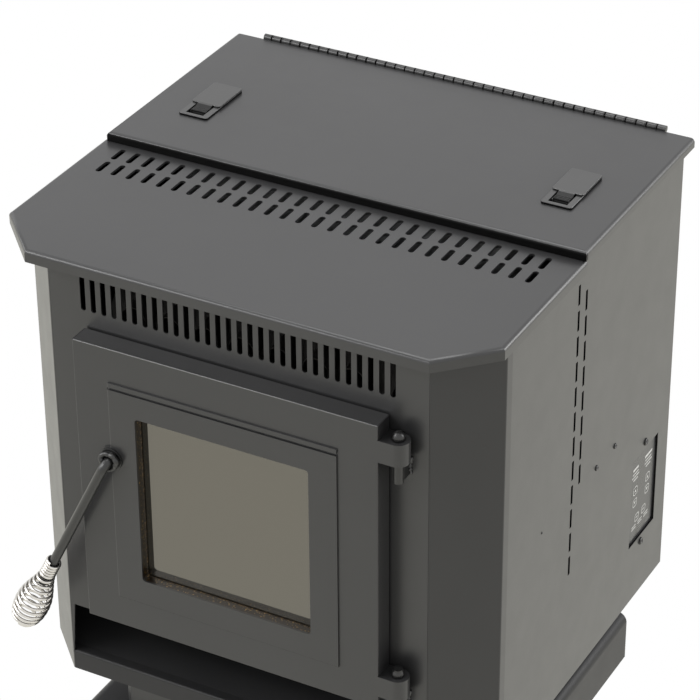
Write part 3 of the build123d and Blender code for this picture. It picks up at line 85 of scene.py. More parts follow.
HANDLE_PIVOT = np.array([-140.5, -293.0, 487.0])
ELBOW_BEAD_Y = -285.4                 # just behind the rod's elbow
HINGE_BEAD_Y = -249.9                 # just in front of the front panel
FORWARD = (0.0, -1.0, 0.0)


# ------------------------------------------------------------------ sizes and colours
class StoveSizes(bpy.types.PropertyGroup):
    """Sizes of the pieces that are added to the frame."""

    wire_radius: FloatProperty(
        name="Grip wire radius", description="Radius of the coil grip's wire",
        default=1.75 * MM, unit="LENGTH")
    grip_turns: IntProperty(
        name="Grip turns", description="Turns of the coil grip", default=16, min=6, max=40)
    key_size: FloatProperty(
        name="Key size", description="Side of a key on the control panel",
        default=11.6 * MM, unit="LENGTH")
    screw_radius: FloatProperty(
        name="Screw head radius", description="Radius of the side panels' screw heads",
        default=3.6 * MM, unit="LENGTH")
    weld_radius: FloatProperty(
        name="Weld radius", description="Radius of the weld beads down the hinge blocks",
        default=1.5 * MM, unit="LENGTH")
    edge_round: FloatProperty(
        name="Edge rounding", description="Rounding of the painted sheet's edges",
        default=0.5 * MM, unit="LENGTH")


class StoveColours(bpy.types.PropertyGroup):
    """Colours and gloss of the finishes."""

    paint: FloatVectorProperty(
        name="Stove paint", description="Charcoal heat-proof paint", subtype="COLOR",
        default=(0.034, 0.034, 0.035), min=0, max=1)
    paint_gloss: FloatProperty(
        name="Paint roughness", description="Roughness of the satin paint",
        default=0.31, min=0.05, max=1, subtype="FACTOR")
    fitting: FloatVectorProperty(
        name="Fittings paint", description="Darker paint of the latches, hinge and rod",
        subtype="COLOR", default=(0.016, 0.016, 0.016), min=0, max=1)
    nickel: FloatVectorProperty(
        name="Nickel", description="Bright plating of the coil grip", subtype="COLOR",
        default=(0.72, 0.70, 0.67), min=0, max=1)
    glass: FloatVectorProperty(
        name="Window glass", description="Tint of the ceramic glass", subtype="COLOR",
        default=(0.010, 0.009, 0.006), min=0, max=1)
    rope: FloatVectorProperty(
        name="Gasket", description="Brown fibre gasket", subtype="COLOR",
        default=(0.10, 0.062, 0.025), min=0, max=1)
    ink: FloatVectorProperty(
        name="Key ink", description="Pale ink of the control panel", subtype="COLOR",
        default=(0.62, 0.62, 0.60), min=0, max=1)
    floor: FloatVectorProperty(
        name="Floor", description="Colour of the floor", subtype="COLOR",
        default=(0.82, 0.81, 0.76), min=0, max=1)


def sizes():
    """The sizes that the scene holds."""
    return bpy.context.scene.stove_sizes


def colours():
    """The colours that the scene holds."""
    return bpy.context.scene.stove_colours


# ------------------------------------------------------------------ material helpers
def add_node(tree, kind, inputs=None, **settings):
    """Adds a node to a tree; an input may be a number, a colour or another node's socket."""
    made = tree.nodes.new(kind)
    for key, value in settings.items():
        setattr(made, key, value)
    for key, value in (inputs or {}).items():
        if isinstance(value, bpy.types.NodeSocket):
            tree.links.new(value, made.inputs[key])
        else:
            made.inputs[key].default_value = value
    return made


class Finish:
    """A material being wired: keeps its node tree and its main shader."""

    def __init__(self, name):
        self.material = bpy.data.materials.new(name)
        self.material.use_nodes = True
        self.tree = self.material.node_tree
        self.shader = self.tree.nodes["Principled BSDF"]
        self.coords = self.tree.nodes.new("ShaderNodeTexCoord").outputs["Object"]

    def node(self, kind, inputs=None, **settings):
        """Adds a node to this material."""
        return add_node(self.tree, kind, inputs, **settings)

    def noise(self, scale, detail=3.0, stretch=None):
        """Noise over the object, stretched along an axis where asked."""
        place = self.coords
        if stretch:
            place = self.node("ShaderNodeMapping", {"Vector": place, "Scale": stretch}).outputs[0]
        return self.node("ShaderNodeTexNoise",
                         {"Vector": place, "Scale": scale, "Detail": detail}).outputs["Fac"]

    def ramp(self, source, stops):
        """Colours at places from 0 to 1."""
        made = self.node("ShaderNodeValToRGB", {"Fac": source})
        while len(made.color_ramp.elements) < len(stops):
            made.color_ramp.elements.new(0.5)
        for element, (place, colour) in zip(made.color_ramp.elements, stops):
            element.position = place
            element.color = (*colour, 1) if len(colour) == 3 else colour
        return made.outputs["Color"]

    def between(self, source, low, high):
        """The source's 0 to 1 carried over to low to high."""
        return self.node("ShaderNodeMapRange", {
            "Value": source, "To Min": low, "To Max": high}).outputs["Result"]

    def bump(self, source, strength, distance, under=None):
        """Surface relief, laid over an earlier relief where one is given."""
        inputs = {"Height": source, "Strength": strength, "Distance": distance}
        if under is not None:
            inputs["Normal"] = under
        return self.node("ShaderNodeBump", inputs).outputs["Normal"]

    def math(self, operation, first, second=None):
        """Arithmetic on one or two values, each a number or a socket."""
        inputs = {0: first} if second is None else {0: first, 1: second}
        return self.node("ShaderNodeMath", inputs, operation=operation).outputs[0]

    def product(self, first, second):
        """The two values multiplied."""
        return self.math("MULTIPLY", first, second)

    def wire(self, source, socket):
        """Leads a socket to an input of the main shader."""
        self.tree.links.new(source, self.shader.inputs[socket])

    def number(self, socket, value):
        """Sets an input of the main shader to a plain value."""
        self.shader.inputs[socket].default_value = value


def shade(colour, factor):
    """The colour made darker or lighter by a factor."""
    return tuple(min(1.0, c * factor) for c in colour)


# ------------------------------------------------------------------ gloss, painted highlights and painted shade over a piece, by place
# The gloss functions take a finish and the three coordinates of a point on the piece, in metres, and
# are made up of the three short functions that come first. They paint highlights with extra gloss and shade
# with little gloss.
def within(coat, coordinate, middle, half):
    """1 where the coordinate lies within half of middle, both in millimetres."""
    off = coat.math("ABSOLUTE", coat.math("SUBTRACT", coordinate, middle * MM))
    return coat.math("LESS_THAN", off, half * MM)


def beyond(coat, coordinate, edge):
    """1 where the coordinate is past an edge in millimetres."""
    return coat.math("GREATER_THAN", coordinate, edge * MM)


def repeated(coat, coordinate, start, pitch, count, half):
    """1 within half of each of count middles, the first at start and the next a pitch lower."""
    steps = coat.math("DIVIDE", coat.math("SUBTRACT", (start + pitch / 2) * MM, coordinate), pitch * MM)
    off = coat.math("ABSOLUTE", coat.math("SUBTRACT", coat.math("FRACT", steps), 0.5))
    span = coat.product(coat.math("GREATER_THAN", steps, 0.0), coat.math("LESS_THAN", steps, count))
    return coat.product(span, coat.math("LESS_THAN", off, half / pitch))


def side_gloss_and_slot_shade(coat, place):
    """Side panel: painted shade, black and without gloss, in and just round its air slots and on the slot
    walls inside the sheet; less gloss on the right facet and more on the side, a painted difference of light
    between two faces of one paint.
    """
    front = coat.math("LESS_THAN", place[1], FACET_Y * MM)
    skin = coat.math("MAXIMUM", front, beyond(coat, coat.math("ABSOLUTE", place[0]), SIDE_SKIN_X))
    for y, top_z, count in SLOT_ROWS:
        # painted shade: a black stripe without gloss along each slot, wider than the slot itself
        row = repeated(coat, place[2], top_z, SLOT_PITCH, count, SLOT_REACH)
        slot = coat.product(row, within(coat, place[1], y, SLOT_SHADE))
        skin = coat.product(skin, coat.math("SUBTRACT", 1.0, slot))
    # painted light and shade: the side gets more gloss than the right facet, though both are one paint
    facet = coat.product(front, beyond(coat, place[0], 0.0))
    return coat.product(skin, coat.between(facet, 0.62, 0.36))


def lid_gloss_and_flange_shade(coat, place):
    """Lid: painted shade, black and without gloss, on its upright front flange, which stands in its own
    shade.
    """
    # painted shade: the flange's gloss falls below a tenth, so its colour is painted black
    return coat.between(beyond(coat, place[1], LID_FLANGE_Y), 0.06, 0.5)


def pan_gloss_and_painted_light(coat, place):
    """Latch pans: a painted highlight of extra gloss on the rim, and painted shade, black and without gloss,
    on the walls and down in the cup.
    """
    # painted highlight on the rim; painted shade, black, below it
    return coat.between(beyond(coat, place[2], PAN_RIM_Z), 0.04, 0.9)


def lever_gloss_and_painted_light(coat, place):
    """Latch levers: a painted highlight of extra gloss on the plate, and painted shade of low gloss on the
    walls and the ribbed tongue.
    """
    # painted highlight on the plate; painted shade on the walls and the tongue
    return coat.between(beyond(coat, place[2], LEVER_PLATE_Z), 0.22, 0.85)


def door_gloss_and_painted_light(coat, place):
    """Door: painted highlights of full gloss along its top edge and the bezel's left edge, and a painted
    shade line, black and without gloss, along the bezel's foot.
    """
    x, z = place[0], place[2]
    left_x, foot_z = BEZEL_X - BEZEL_HALF_W + 0.2, BEZEL_Z - BEZEL_HALF_H - 0.3
    left = coat.product(within(coat, x, left_x, 0.5), within(coat, z, BEZEL_Z, BEZEL_HALF_H))
    foot = coat.product(within(coat, z, foot_z, 0.6), within(coat, x, BEZEL_X, BEZEL_HALF_W))
    top = coat.product(within(coat, z, DOOR_TOP_Z, 0.7), within(coat, x, DOOR_X, DOOR_HALF))
    # painted highlights: full gloss on thin strips along the door's top edge and the bezel's left edge
    painted_highlight = coat.between(coat.math("MAXIMUM", left, top), 0.46, 1.0)
    # painted shade: the bezel's foot drops below a tenth of gloss, so its colour is painted black
    return coat.math("SUBTRACT", painted_highlight, coat.product(foot, 0.42))


def hinge_gloss_and_gap_shade(coat, place):
    """Continuous hinge: painted shade, black and without gloss, in the gaps between the knuckles of its
    barrel.
    """
    barrel = coat.product(beyond(coat, place[1], BARREL_Y), beyond(coat, place[2], BARREL_Z))
    start = KNUCKLE_PITCH * KNUCKLE_COUNT / 2
    gaps = repeated(coat, place[0], start, KNUCKLE_PITCH, KNUCKLE_COUNT + 1, KNUCKLE_GAP)
    # painted shade: the gaps get no gloss, so their colour is painted black
    return coat.between(coat.product(barrel, gaps), 0.55, 0.0)


# ------------------------------------------------------------------ finishes
def masked(coat, amount, under, over):
    """Colour that is over where the amount is 1, and under where it is 0."""
    return coat.node("ShaderNodeMix", {0: amount, 6: under, 7: over}, data_type="RGBA").outputs[2]


def browned_reveal(coat, base):
    """Colour of the door, with the window's walls browned by heat and specked with fibre ends."""
    place = coat.node("ShaderNodeSeparateXYZ", {0: coat.coords}).outputs
    beside = within(coat, place[0], WINDOW_X, WINDOW_HALF)
    inside = coat.product(beside, within(coat, place[2], WINDOW_Z, WINDOW_HALF))
    behind = beyond(coat, place[1], WINDOW_FACE_Y)
    soot, scorch, gold = (0.010, 0.006, 0.003), (0.030, 0.017, 0.007), (0.42, 0.26, 0.08)
    fibre = coat.ramp(coat.noise(420.0, 4.0), [(0.50, soot), (0.60, scorch), (0.70, gold)])
    return masked(coat, coat.product(inside, behind), base, fibre)


def painted_sheet(name, colour, roughness, grain=1.0, gloss=0.5, dressing=None):
    """Sprayed heat-proof paint: faint cloudy tone, fine orange peel, rubbed spots, dust specks.

    Gloss is a number, or one of the functions above, which paint highlights and shade: where the gloss falls
    to nothing, the colour is painted near black, as shade.
    A dressing is a function that lays something more over the paint's colour.
    """
    coat = Finish(name)
    cloud = coat.noise(5.0, 4.0)
    speck = coat.noise(2600.0, 2.0)
    rub = coat.noise(34.0, 5.0)
    tone = coat.ramp(cloud, [(0.3, shade(colour, 0.93)), (0.7, shade(colour, 1.07))])
    dust = coat.ramp(speck, [(0.62, (0, 0, 0)), (0.74, (1, 1, 1))])
    base = masked(coat, dust, tone, (*shade(colour, 1.35), 1))
    if dressing:
        base = dressing(coat, base)
    if callable(gloss):
        level = gloss(coat, coat.node("ShaderNodeSeparateXYZ", {0: coat.coords}).outputs)
        coat.wire(level, "Specular IOR Level")
        # painted shade: where the gloss falls below a tenth, the colour is painted near black
        base = masked(coat, coat.math("GREATER_THAN", level, 0.1), (0.004, 0.004, 0.004, 1), base)
    else:
        coat.number("Specular IOR Level", gloss)
    coat.wire(base, "Base Color")
    coat.wire(coat.between(rub, roughness - 0.05, roughness + 0.06), "Roughness")
    peel = coat.bump(coat.noise(1500.0, 2.0), 0.10 * grain, 0.0002)
    coat.wire(coat.bump(cloud, 0.03, 0.002, peel), "Normal")
    coat.number("IOR", 1.6)
    return coat.material


def bare_plate(name, colour, roughness, streak=(1, 1, 1)):
    """Rolled or cast steel: uneven oxide tone, grain along the rolling, patchy gloss."""
    coat = Finish(name)
    cloud = coat.noise(14.0, 6.0)
    grain = coat.noise(900.0, 3.0, streak)
    coat.wire(coat.ramp(cloud, [(0.25, shade(colour, 0.75)), (0.75, shade(colour, 1.25))]), "Base Color")
    coat.wire(coat.between(grain, roughness - 0.1, roughness + 0.12), "Roughness")
    coat.wire(coat.bump(grain, 0.2, 0.0003), "Normal")
    coat.number("Metallic", 0.75)
    return coat.material


def zinc_sheet(name):
    """Zinc-coated sheet: pale spangles of differing tone, each with its own gloss."""
    coat = Finish(name)
    cells = coat.node("ShaderNodeTexVoronoi", {"Vector": coat.coords, "Scale": 90.0})
    tone = coat.node("ShaderNodeRGBToBW", {"Color": cells.outputs["Color"]}).outputs[0]
    coat.wire(coat.ramp(tone, [(0.1, (0.42, 0.43, 0.44)), (0.9, (0.58, 0.59, 0.60))]), "Base Color")
    coat.wire(coat.between(tone, 0.32, 0.55), "Roughness")
    coat.wire(coat.bump(coat.noise(400.0), 0.08, 0.0002), "Normal")
    coat.number("Metallic", 0.9)
    return coat.material


def bright_steel(name, colour, roughness):
    """Plain turned steel: fine scratches and a little tarnish."""
    coat = Finish(name)
    tarnish = coat.noise(60.0, 5.0)
    coat.wire(coat.ramp(tarnish, [(0.3, shade(colour, 0.85)), (0.7, colour)]), "Base Color")
    scratch = coat.noise(700.0, 2.0, (1, 1, 0.1))
    coat.wire(coat.between(scratch, roughness - 0.05, roughness + 0.1), "Roughness")
    coat.wire(coat.bump(tarnish, 0.05, 0.0002), "Normal")
    coat.number("Metallic", 1.0)
    return coat.material


def plated_wire(name, colour):
    """Nickel plating: mirror-bright with faint drawing marks and cloudy spots."""
    coat = Finish(name)
    cloud = coat.noise(150.0, 3.0)
    coat.wire(coat.ramp(cloud, [(0.35, shade(colour, 0.88)), (0.65, colour)]), "Base Color")
    coat.wire(coat.between(coat.noise(900.0, 2.0), 0.10, 0.20), "Roughness")
    coat.wire(coat.bump(coat.noise(1200.0), 0.04, 0.0001), "Normal")
    coat.number("Metallic", 1.0)
    return coat.material


def ceramic_glass(name, colour):
    """Dark ceramic glass, mirror-like and slightly bronzed, with a faint soot haze."""
    coat = Finish(name)
    haze = coat.noise(9.0, 4.0)
    coat.wire(coat.ramp(haze, [(0.3, shade(colour, 0.92)), (0.7, shade(colour, 1.1))]), "Base Color")
    coat.wire(coat.between(coat.noise(30.0, 5.0), 0.015, 0.045), "Roughness")
    coat.wire(coat.bump(coat.noise(12.0, 2.0), 0.01, 0.0005), "Normal")
    coat.number("IOR", 2.4)
    coat.number("Specular Tint", (1.0, 0.955, 0.86, 1.0))
    coat.number("Alpha", 0.93)
    return coat.material


def fibre_gasket(name, colour):
    """Braided fibre: speckled golden brown with a knitted grain."""
    coat = Finish(name)
    braid = coat.node("ShaderNodeTexVoronoi", {"Vector": coat.coords, "Scale": 520.0})
    speck = coat.noise(420.0, 3.0)
    coat.wire(coat.ramp(speck, [(0.45, shade(colour, 0.2)), (0.6, colour), (0.75, shade(colour, 5.0))]),
              "Base Color")
    coat.number("Roughness", 0.92)
    coat.wire(coat.bump(braid.outputs["Distance"], 0.6, 0.0008), "Normal")
    coat.number("Sheen Weight", 0.2)
    return coat.material


def moulded(name, colour, roughness):
    """Moulded plastic or rubber: fine spark-eroded grain."""
    coat = Finish(name)
    cloud = coat.noise(25.0, 4.0)
    coat.wire(coat.ramp(cloud, [(0.3, shade(colour, 0.85)), (0.7, shade(colour, 1.15))]), "Base Color")
    coat.wire(coat.between(cloud, roughness - 0.05, roughness + 0.06), "Roughness")
    coat.wire(coat.bump(coat.noise(1800.0, 2.0), 0.2, 0.0002), "Normal")
    return coat.material


def printed_ink(name, colour):
    """Screen-printed ink: slightly worn and uneven."""
    coat = Finish(name)
    wear = coat.noise(700.0, 4.0)
    coat.wire(coat.ramp(wear, [(0.25, shade(colour, 0.7)), (0.5, colour)]), "Base Color")
    coat.wire(coat.between(wear, 0.45, 0.6), "Roughness")
    coat.wire(coat.bump(wear, 0.05, 0.0001), "Normal")
    return coat.material


# ------------------------------------------------------------------ surface helpers
def put_mesh(name, points, faces, body, material, smooth=True):
    """Makes an object at the origin from points in metres and lists of corner numbers."""
    mesh = bpy.data.meshes.new(name)
    mesh.from_pydata(points.tolist(), [], faces)
    mesh.polygons.foreach_set("use_smooth", np.full(len(mesh.polygons), smooth))
    mesh.materials.append(material)
    mesh.update()
    piece = bpy.data.objects.new(name, mesh)
    bpy.context.collection.objects.link(piece)
    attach(piece, body)
    return piece


def grid_faces(rows, columns, close_rows=False):
    """Corner numbers of the quads of a grid whose rows are rings, joined end to end where asked."""
    a, b = np.meshgrid(np.arange(rows if close_rows else rows - 1), np.arange(columns), indexing="ij")
    a2, b2 = (a + 1) % rows, (b + 1) % columns
    quads = np.stack([a * columns + b, a2 * columns + b, a2 * columns + b2, a * columns + b2], -1)
    return quads.reshape(-1, 4).tolist()


def end_fans(rows, columns):
    """Triangles that close the first ring of a grid on the point after it, and the last on the next."""
    first, last = rows * columns, (rows - 1) * columns
    faces = [[(i + 1) % columns, i, first] for i in range(columns)]
    return faces + [[last + i, last + (i + 1) % columns, first + 1] for i in range(columns)]


def polar_grid(rings, spokes):
    """Radius from 0 to 1 and angle at each point of a round grid, without its middle."""
    radius = np.linspace(0, 1, rings + 1)[1:]
    angle = np.linspace(0, 2 * np.pi, spokes, endpoint=False)
    return np.meshgrid(radius, angle, indexing="ij")


def polar_faces(rings, spokes):
    """Faces of a round grid, with fans to the middle on top and to the middle of its foot."""
    return grid_faces(rings, spokes) + [face[::-1] for face in end_fans(rings, spokes)]


def ring_points(path, along, radius, reference, sides):
    """Points round a path: path(u) + r(u) (cos v first + sin v second).

    First is the part of a fixed reference direction that is square to the path, and second is
    square to both, so the ring of points turns with the path and never twists.
    """
    first = np.asarray(reference, float) - along * (along @ reference)[:, None]
    first /= np.linalg.norm(first, axis=1, keepdims=True)
    second = np.cross(along, first)
    v = np.linspace(0, 2 * np.pi, sides, endpoint=False)
    ring = np.cos(v)[None, :, None] * first[:, None] + np.sin(v)[None, :, None] * second[:, None]
    return path[:, None] + radius[:, None, None] * ring


def tube(path, radius, reference, sides=12):
    """Round wire along an open path, with a low cone on each end."""
    radius = np.broadcast_to(np.asarray(radius, float), (len(path),))
    along = np.gradient(path, axis=0)
    along /= np.linalg.norm(along, axis=1, keepdims=True)
    points = ring_points(path, along, radius, reference, sides)
    tips = path[[0, -1]] + along[[0, -1]] * radius[[0, -1]][:, None] * [[-0.35], [0.35]]
    faces = grid_faces(len(path), sides) + end_fans(len(path), sides)
    return np.concatenate([points.reshape(-1, 3), tips]), [face[::-1] for face in faces]


def ring_tube(path, radius, reference, sides=10):
    """Closed bead: the same round section carried round a loop whose last point meets its first."""
    along = np.roll(path, -1, axis=0) - np.roll(path, 1, axis=0)
    along /= np.linalg.norm(along, axis=1, keepdims=True)
    points = ring_points(path, along, radius, reference, sides)
    faces = grid_faces(len(path), sides, close_rows=True)
    return points.reshape(-1, 3), [face[::-1] for face in faces]


def slab(outline, plane_x, thickness):
    """Flat badge in a plane x = constant: an outline of (y, z) points given a thickness along +X."""
    n = len(outline)
    low = np.column_stack([np.full(n, plane_x), outline])
    high = low + [thickness, 0, 0]
    faces = [list(range(n, 2 * n)), list(range(n))[::-1]]
    faces += [[i, (i + 1) % n, n + (i + 1) % n, n + i] for i in range(n)]
    return np.concatenate([low, high]), faces


def ring_slab(outer, inner, plane_x, thickness):
    """Flat ring in a plane x = constant between two outlines of as many (y, z) points, raised along +X."""
    n = len(outer)
    loops = [np.column_stack([np.full(n, plane_x), outer]), np.column_stack([np.full(n, plane_x), inner])]
    points = np.concatenate([loops[0], loops[0] + [thickness, 0, 0], loops[1] + [thickness, 0, 0], loops[1]])
    i = np.arange(n)
    k = (i + 1) % n
    quads = [np.stack([i + a * n, k + a * n, k + b * n, i + b * n], -1)
             for a, b in ((0, 1), (1, 2), (2, 3), (3, 0))]
    return points, np.concatenate(quads).tolist()


def join_parts(parts):
    """Joins (points, faces) pairs into one pair."""
    all_points, all_faces, start = [], [], 0
    for points, faces in parts:
        all_points.append(points)
        all_faces += [[i + start for i in face] for face in faces]
        start += len(points)
    return np.concatenate(all_points), all_faces


def weld_and_round(node, width):
    """Merges a frame node's loose triangles, rounds its edges and evens its shading with modifiers."""
    sharp = math.radians(32)
    merge = node.modifiers.new("merge", "WELD")
    merge.merge_threshold = 1e-6
    if width:
        flat = node.modifiers.new("flat faces", "DECIMATE")
        flat.decimate_type = "DISSOLVE"
        flat.angle_limit = math.radians(0.3)
        bevel = node.modifiers.new("round", "BEVEL")
        bevel.width = width
        bevel.segments = 2
        bevel.limit_method = "ANGLE"
        bevel.angle_limit = sharp
        bevel.miter_outer = "MITER_ARC"
    crease = node.modifiers.new("crease", "EDGE_SPLIT")
    crease.split_angle = sharp
    even = node.modifiers.new("even shading", "WEIGHTED_NORMAL")
    even.mode = "FACE_AREA"
    even.weight = 90
    node.data.polygons.foreach_set("use_smooth", np.full(len(node.data.polygons), True))


# ------------------------------------------------------------------ finishes of the frame's nodes
FINISH_OF = {
    "paint": ["base_stiffener", "pedestal_column", "pedestal_front_panel", "cabinet_floor",
              "front_panel", "rear_panel", "top_plate", "latch_keepers"],
    "base_paint": ["pedestal_base"],
    "lid_paint": ["hopper_lid"],
    "shelf_paint": ["front_lip_shelf"],
    "hinge_paint": ["lid_hinge_fixed_leaf", "lid_hinge_moving_leaf"],
    "latch_paint": ["latch_pans"],
    "lever_paint": ["left_latch_lever", "right_latch_lever"],
    "side_paint": ["left_side_panel", "right_side_panel"],
    "door_paint": ["door_frame"],
    "fitting": ["door_hinge_pins", "handle_rod", "handle_collar", "exhaust_pipe", "lid_hinge_pin"],
    "plate": ["firebox", "heat_exchanger_tubes", "baffle_plate", "ash_cleanout_cover", "door_catch",
              "air_box", "exhaust_collector", "glass_retainer", "handle_cam", "exhaust_elbow",
              "burn_pot"],
    "zinc": ["hopper", "auger_tube", "exhaust_blower_housing", "room_blower_housing",
             "control_board_box", "air_intake_pipe"],
    "steel": ["latch_pivot_pins", "igniter", "glass_retainer_screws", "panel_screws", "auger_screw",
              "exhaust_impeller", "room_blower_wheel", "high_limit_switch"],
    "nickel": ["handle_grip_coil"],
    "motor": ["auger_motor", "exhaust_blower_motor", "room_blower_motor"],
    "glass": ["door_glass"],
    "rope": ["door_rope_gasket", "window_gasket"],
    "rubber": ["hopper_lid_gasket"],
    "plastic": ["control_keypad", "power_inlet", "vacuum_switch"],
}
# Rounding of a node's edges, as a share of the usual one. The others keep their edges.
ROUNDED = {
    "pedestal_column": 1.0, "pedestal_front_panel": 1.0, "front_lip_shelf": 1.0,
    "left_side_panel": 1.0, "right_side_panel": 1.0, "front_panel": 1.0, "door_frame": 2.2,
    "latch_pans": 1.3, "left_latch_lever": 1.3, "right_latch_lever": 1.3,
    "door_hinge_pins": 1.8, "handle_collar": 1.0, "pedestal_base": 1.0,
    "lid_hinge_fixed_leaf": 1.1, "lid_hinge_moving_leaf": 1.1,
}


def finish_named(key):
    """The finish that FINISH_OF and the added pieces call by this key."""
    return bpy.data.materials["stove_" + key]


class STOVE_OT_finishes(bpy.types.Operator):
    """Make the finishes and lay them on every node of the frame"""

    bl_idname = "stove.finishes"
    bl_label = "Stove finishes"

    def execute(self, context):
        tints = colours()
        paint, satin, fitting = tuple(tints.paint), tints.paint_gloss, tuple(tints.fitting)
        painted_sheet("stove_paint", paint, satin)
        # the door, side, lid, hinge, latch and lever paints carry painted highlights and painted shade
        # through their gloss functions
        painted_sheet("stove_door_paint", paint, satin, gloss=door_gloss_and_painted_light, dressing=browned_reveal)
        painted_sheet("stove_side_paint", paint, satin, gloss=side_gloss_and_slot_shade)
        painted_sheet("stove_lid_paint", paint, satin, gloss=lid_gloss_and_flange_shade)
        painted_sheet("stove_base_paint", paint, 0.4, gloss=0.16)
        # painted shade: the shelf in the recess under the door gets little gloss, so that it reads dark
        painted_sheet("stove_shelf_paint", paint, 0.42, gloss=0.2)
        painted_sheet("stove_fitting", fitting, 0.32, 0.6)
        painted_sheet("stove_hinge_paint", fitting, 0.3, 0.6, gloss=hinge_gloss_and_gap_shade)
        painted_sheet("stove_latch_paint", fitting, 0.3, 0.5, gloss=pan_gloss_and_painted_light)
        painted_sheet("stove_lever_paint", fitting, 0.3, 0.5, gloss=lever_gloss_and_painted_light)
        bare_plate("stove_plate", (0.035, 0.033, 0.031), 0.62)
        zinc_sheet("stove_zinc")
        bright_steel("stove_steel", (0.55, 0.55, 0.55), 0.3)
        plated_wire("stove_nickel", tuple(tints.nickel))
        painted_sheet("stove_motor", (0.03, 0.03, 0.035), 0.3)
        ceramic_glass("stove_glass", tuple(tints.glass))
        fibre_gasket("stove_rope", tuple(tints.rope))
        moulded("stove_rubber", (0.03, 0.03, 0.03), 0.75)
        moulded("stove_plastic", (0.02, 0.02, 0.022), 0.5)
        moulded("stove_overlay", (0.045, 0.045, 0.047), 0.28)
        printed_ink("stove_ink", tuple(tints.ink))
        printed_ink("stove_faint_ink", shade(tuple(tints.ink), 0.3))
        for key, names in FINISH_OF.items():
            for name in names:
                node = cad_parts[name]
                node.data.materials.clear()
                node.data.materials.append(finish_named(key))
                weld_and_round(node, sizes().edge_round * ROUNDED.get(name, 0.0))
        return {"FINISHED"}


# ------------------------------------------------------------------ coil grip
ROD_LEAN = math.radians(26.4)
ROD_RUN = 172.8
GRIP_LENGTH = 107.0
GRIP_OVERLAP = 4.0                    # the grip starts this far before the end of the rod's run
WIRE_STOP = 1.0                       # the wire's end stops this far short of the grip's length
NECK_PITCH = 4.3
NECK_TURNS = 5
STEPS_PER_TURN = 40


def grip_radius(s):
    """Radius of the wire's line along the grip: a neck, a cosine swell, then a blunt rounded end."""
    neck_r, full_r, end_r, neck_end, widest = 7.55, 18.8, 7.5, 16.0, 75.0
    swell = neck_r + (full_r - neck_r) * (1 - np.cos(np.pi * (s - neck_end) / (widest - neck_end))) / 2
    share = np.clip((s - widest) / (GRIP_LENGTH - widest), 0, 1)
    fall = end_r + (full_r - end_r) * np.sqrt(np.maximum(0, 1 - share ** 2.2))
    return np.where(s <= neck_end, neck_r, np.where(s <= widest, swell, fall))


def grip_advance(turn, turns):
    """Distance along the grip after a number of turns: close on the neck, then wider and even."""
    start = NECK_PITCH * NECK_TURNS
    open_run = GRIP_LENGTH - WIRE_STOP - start
    open_part = start + open_run * (turn - NECK_TURNS) / (turns - NECK_TURNS)
    return np.where(turn <= NECK_TURNS, NECK_PITCH * turn, open_part)


class STOVE_OT_coil_grip(bpy.types.Operator):
    """Wind the nickel coil grip on the end of the door handle's rod"""

    bl_idname = "stove.coil_grip"
    bl_label = "Coil grip"

    def execute(self, context):
        turns = sizes().grip_turns
        axis = np.array([-math.sin(ROD_LEAN), 0.0, -math.cos(ROD_LEAN)])
        across = np.array(FORWARD)
        third = np.cross(axis, across)
        start = HANDLE_PIVOT + axis * (ROD_RUN - GRIP_OVERLAP)
        turn = np.linspace(0, turns, turns * STEPS_PER_TURN + 1)
        s, a = grip_advance(turn, turns), 2 * np.pi * turn
        r = grip_radius(s)
        path = (start + s[:, None] * axis + (r * np.cos(a))[:, None] * across
                + (r * np.sin(a))[:, None] * third)
        points, faces = tube(path * MM, sizes().wire_radius, axis)
        piece = put_mesh("coil_grip", points, faces, "door_handle", finish_named("nickel"))
        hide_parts("handle_grip_coil")
        return {"FINISHED"}


# ------------------------------------------------------------------ control panel
UP_KEYS = ((208.6, 307.0), (173.4, 307.6))
DOWN_KEYS = ((208.4, 290.0), (173.2, 290.8))
BAR_KEYS = ((181.4, 266.0), (200.8, 266.0))
KEY_LINE = 0.9
INK_THICK, FAINT_THICK = 0.15, 0.1
HEADINGS = ((208.2, 21.0), (172.0, 15.0))             # y and width
HEADING_Z, HEADING_HIGH = 339.3, 3.0
# Plain bars in place of print: y of each column, z of the top row, pitch, width in each row, height.
INK_ROWS = (
    ((172.0, 208.0), 333.6, 4.4, (17.0, 20.0, 13.0), 1.5),
    ((191.0, 173.4, 208.5), 256.8, 3.4, (12.0, 12.0), 1.2),
)
FAINT_ROWS = (
    ((169.8, 191.2, 214.0), 250.2, 3.0, (12.0, 10.5, 12.0, 10.5), 0.9),
    ((173.3, 208.4), 323.5, 3.0, (11.0,), 0.9),
)
MARK_FACE = KEYPAD_FACE + OVERLAY_THICK


def rounded_square(corner=0.22):
    """Rounded square from -1 to 1: a superellipse |y|^n + |z|^n = 1 sampled evenly by angle."""
    power = 2 / corner ** 0.6
    angle = np.linspace(0, 2 * np.pi, 24, endpoint=False)
    y, z = np.cos(angle), np.sin(angle)
    reach = (np.abs(y) ** power + np.abs(z) ** power) ** (-1 / power)
    return np.column_stack([reach * y, reach * z])


def arrow_outline(y, z, size, up):
    """Triangle with its point up or down."""
    way = 1 if up else -1
    corners = [(-0.5, -0.4 * way), (0.5, -0.4 * way), (0.0, 0.5 * way)]
    if not up:
        corners = corners[::-1]
    return np.array([(y + size * a, z + size * b) for a, b in corners])


def bar_outline(y, z, width, height):
    """Plain rectangle."""
    return np.array([(y - width / 2, z - height / 2), (y + width / 2, z - height / 2),
                     (y + width / 2, z + height / 2), (y - width / 2, z + height / 2)])


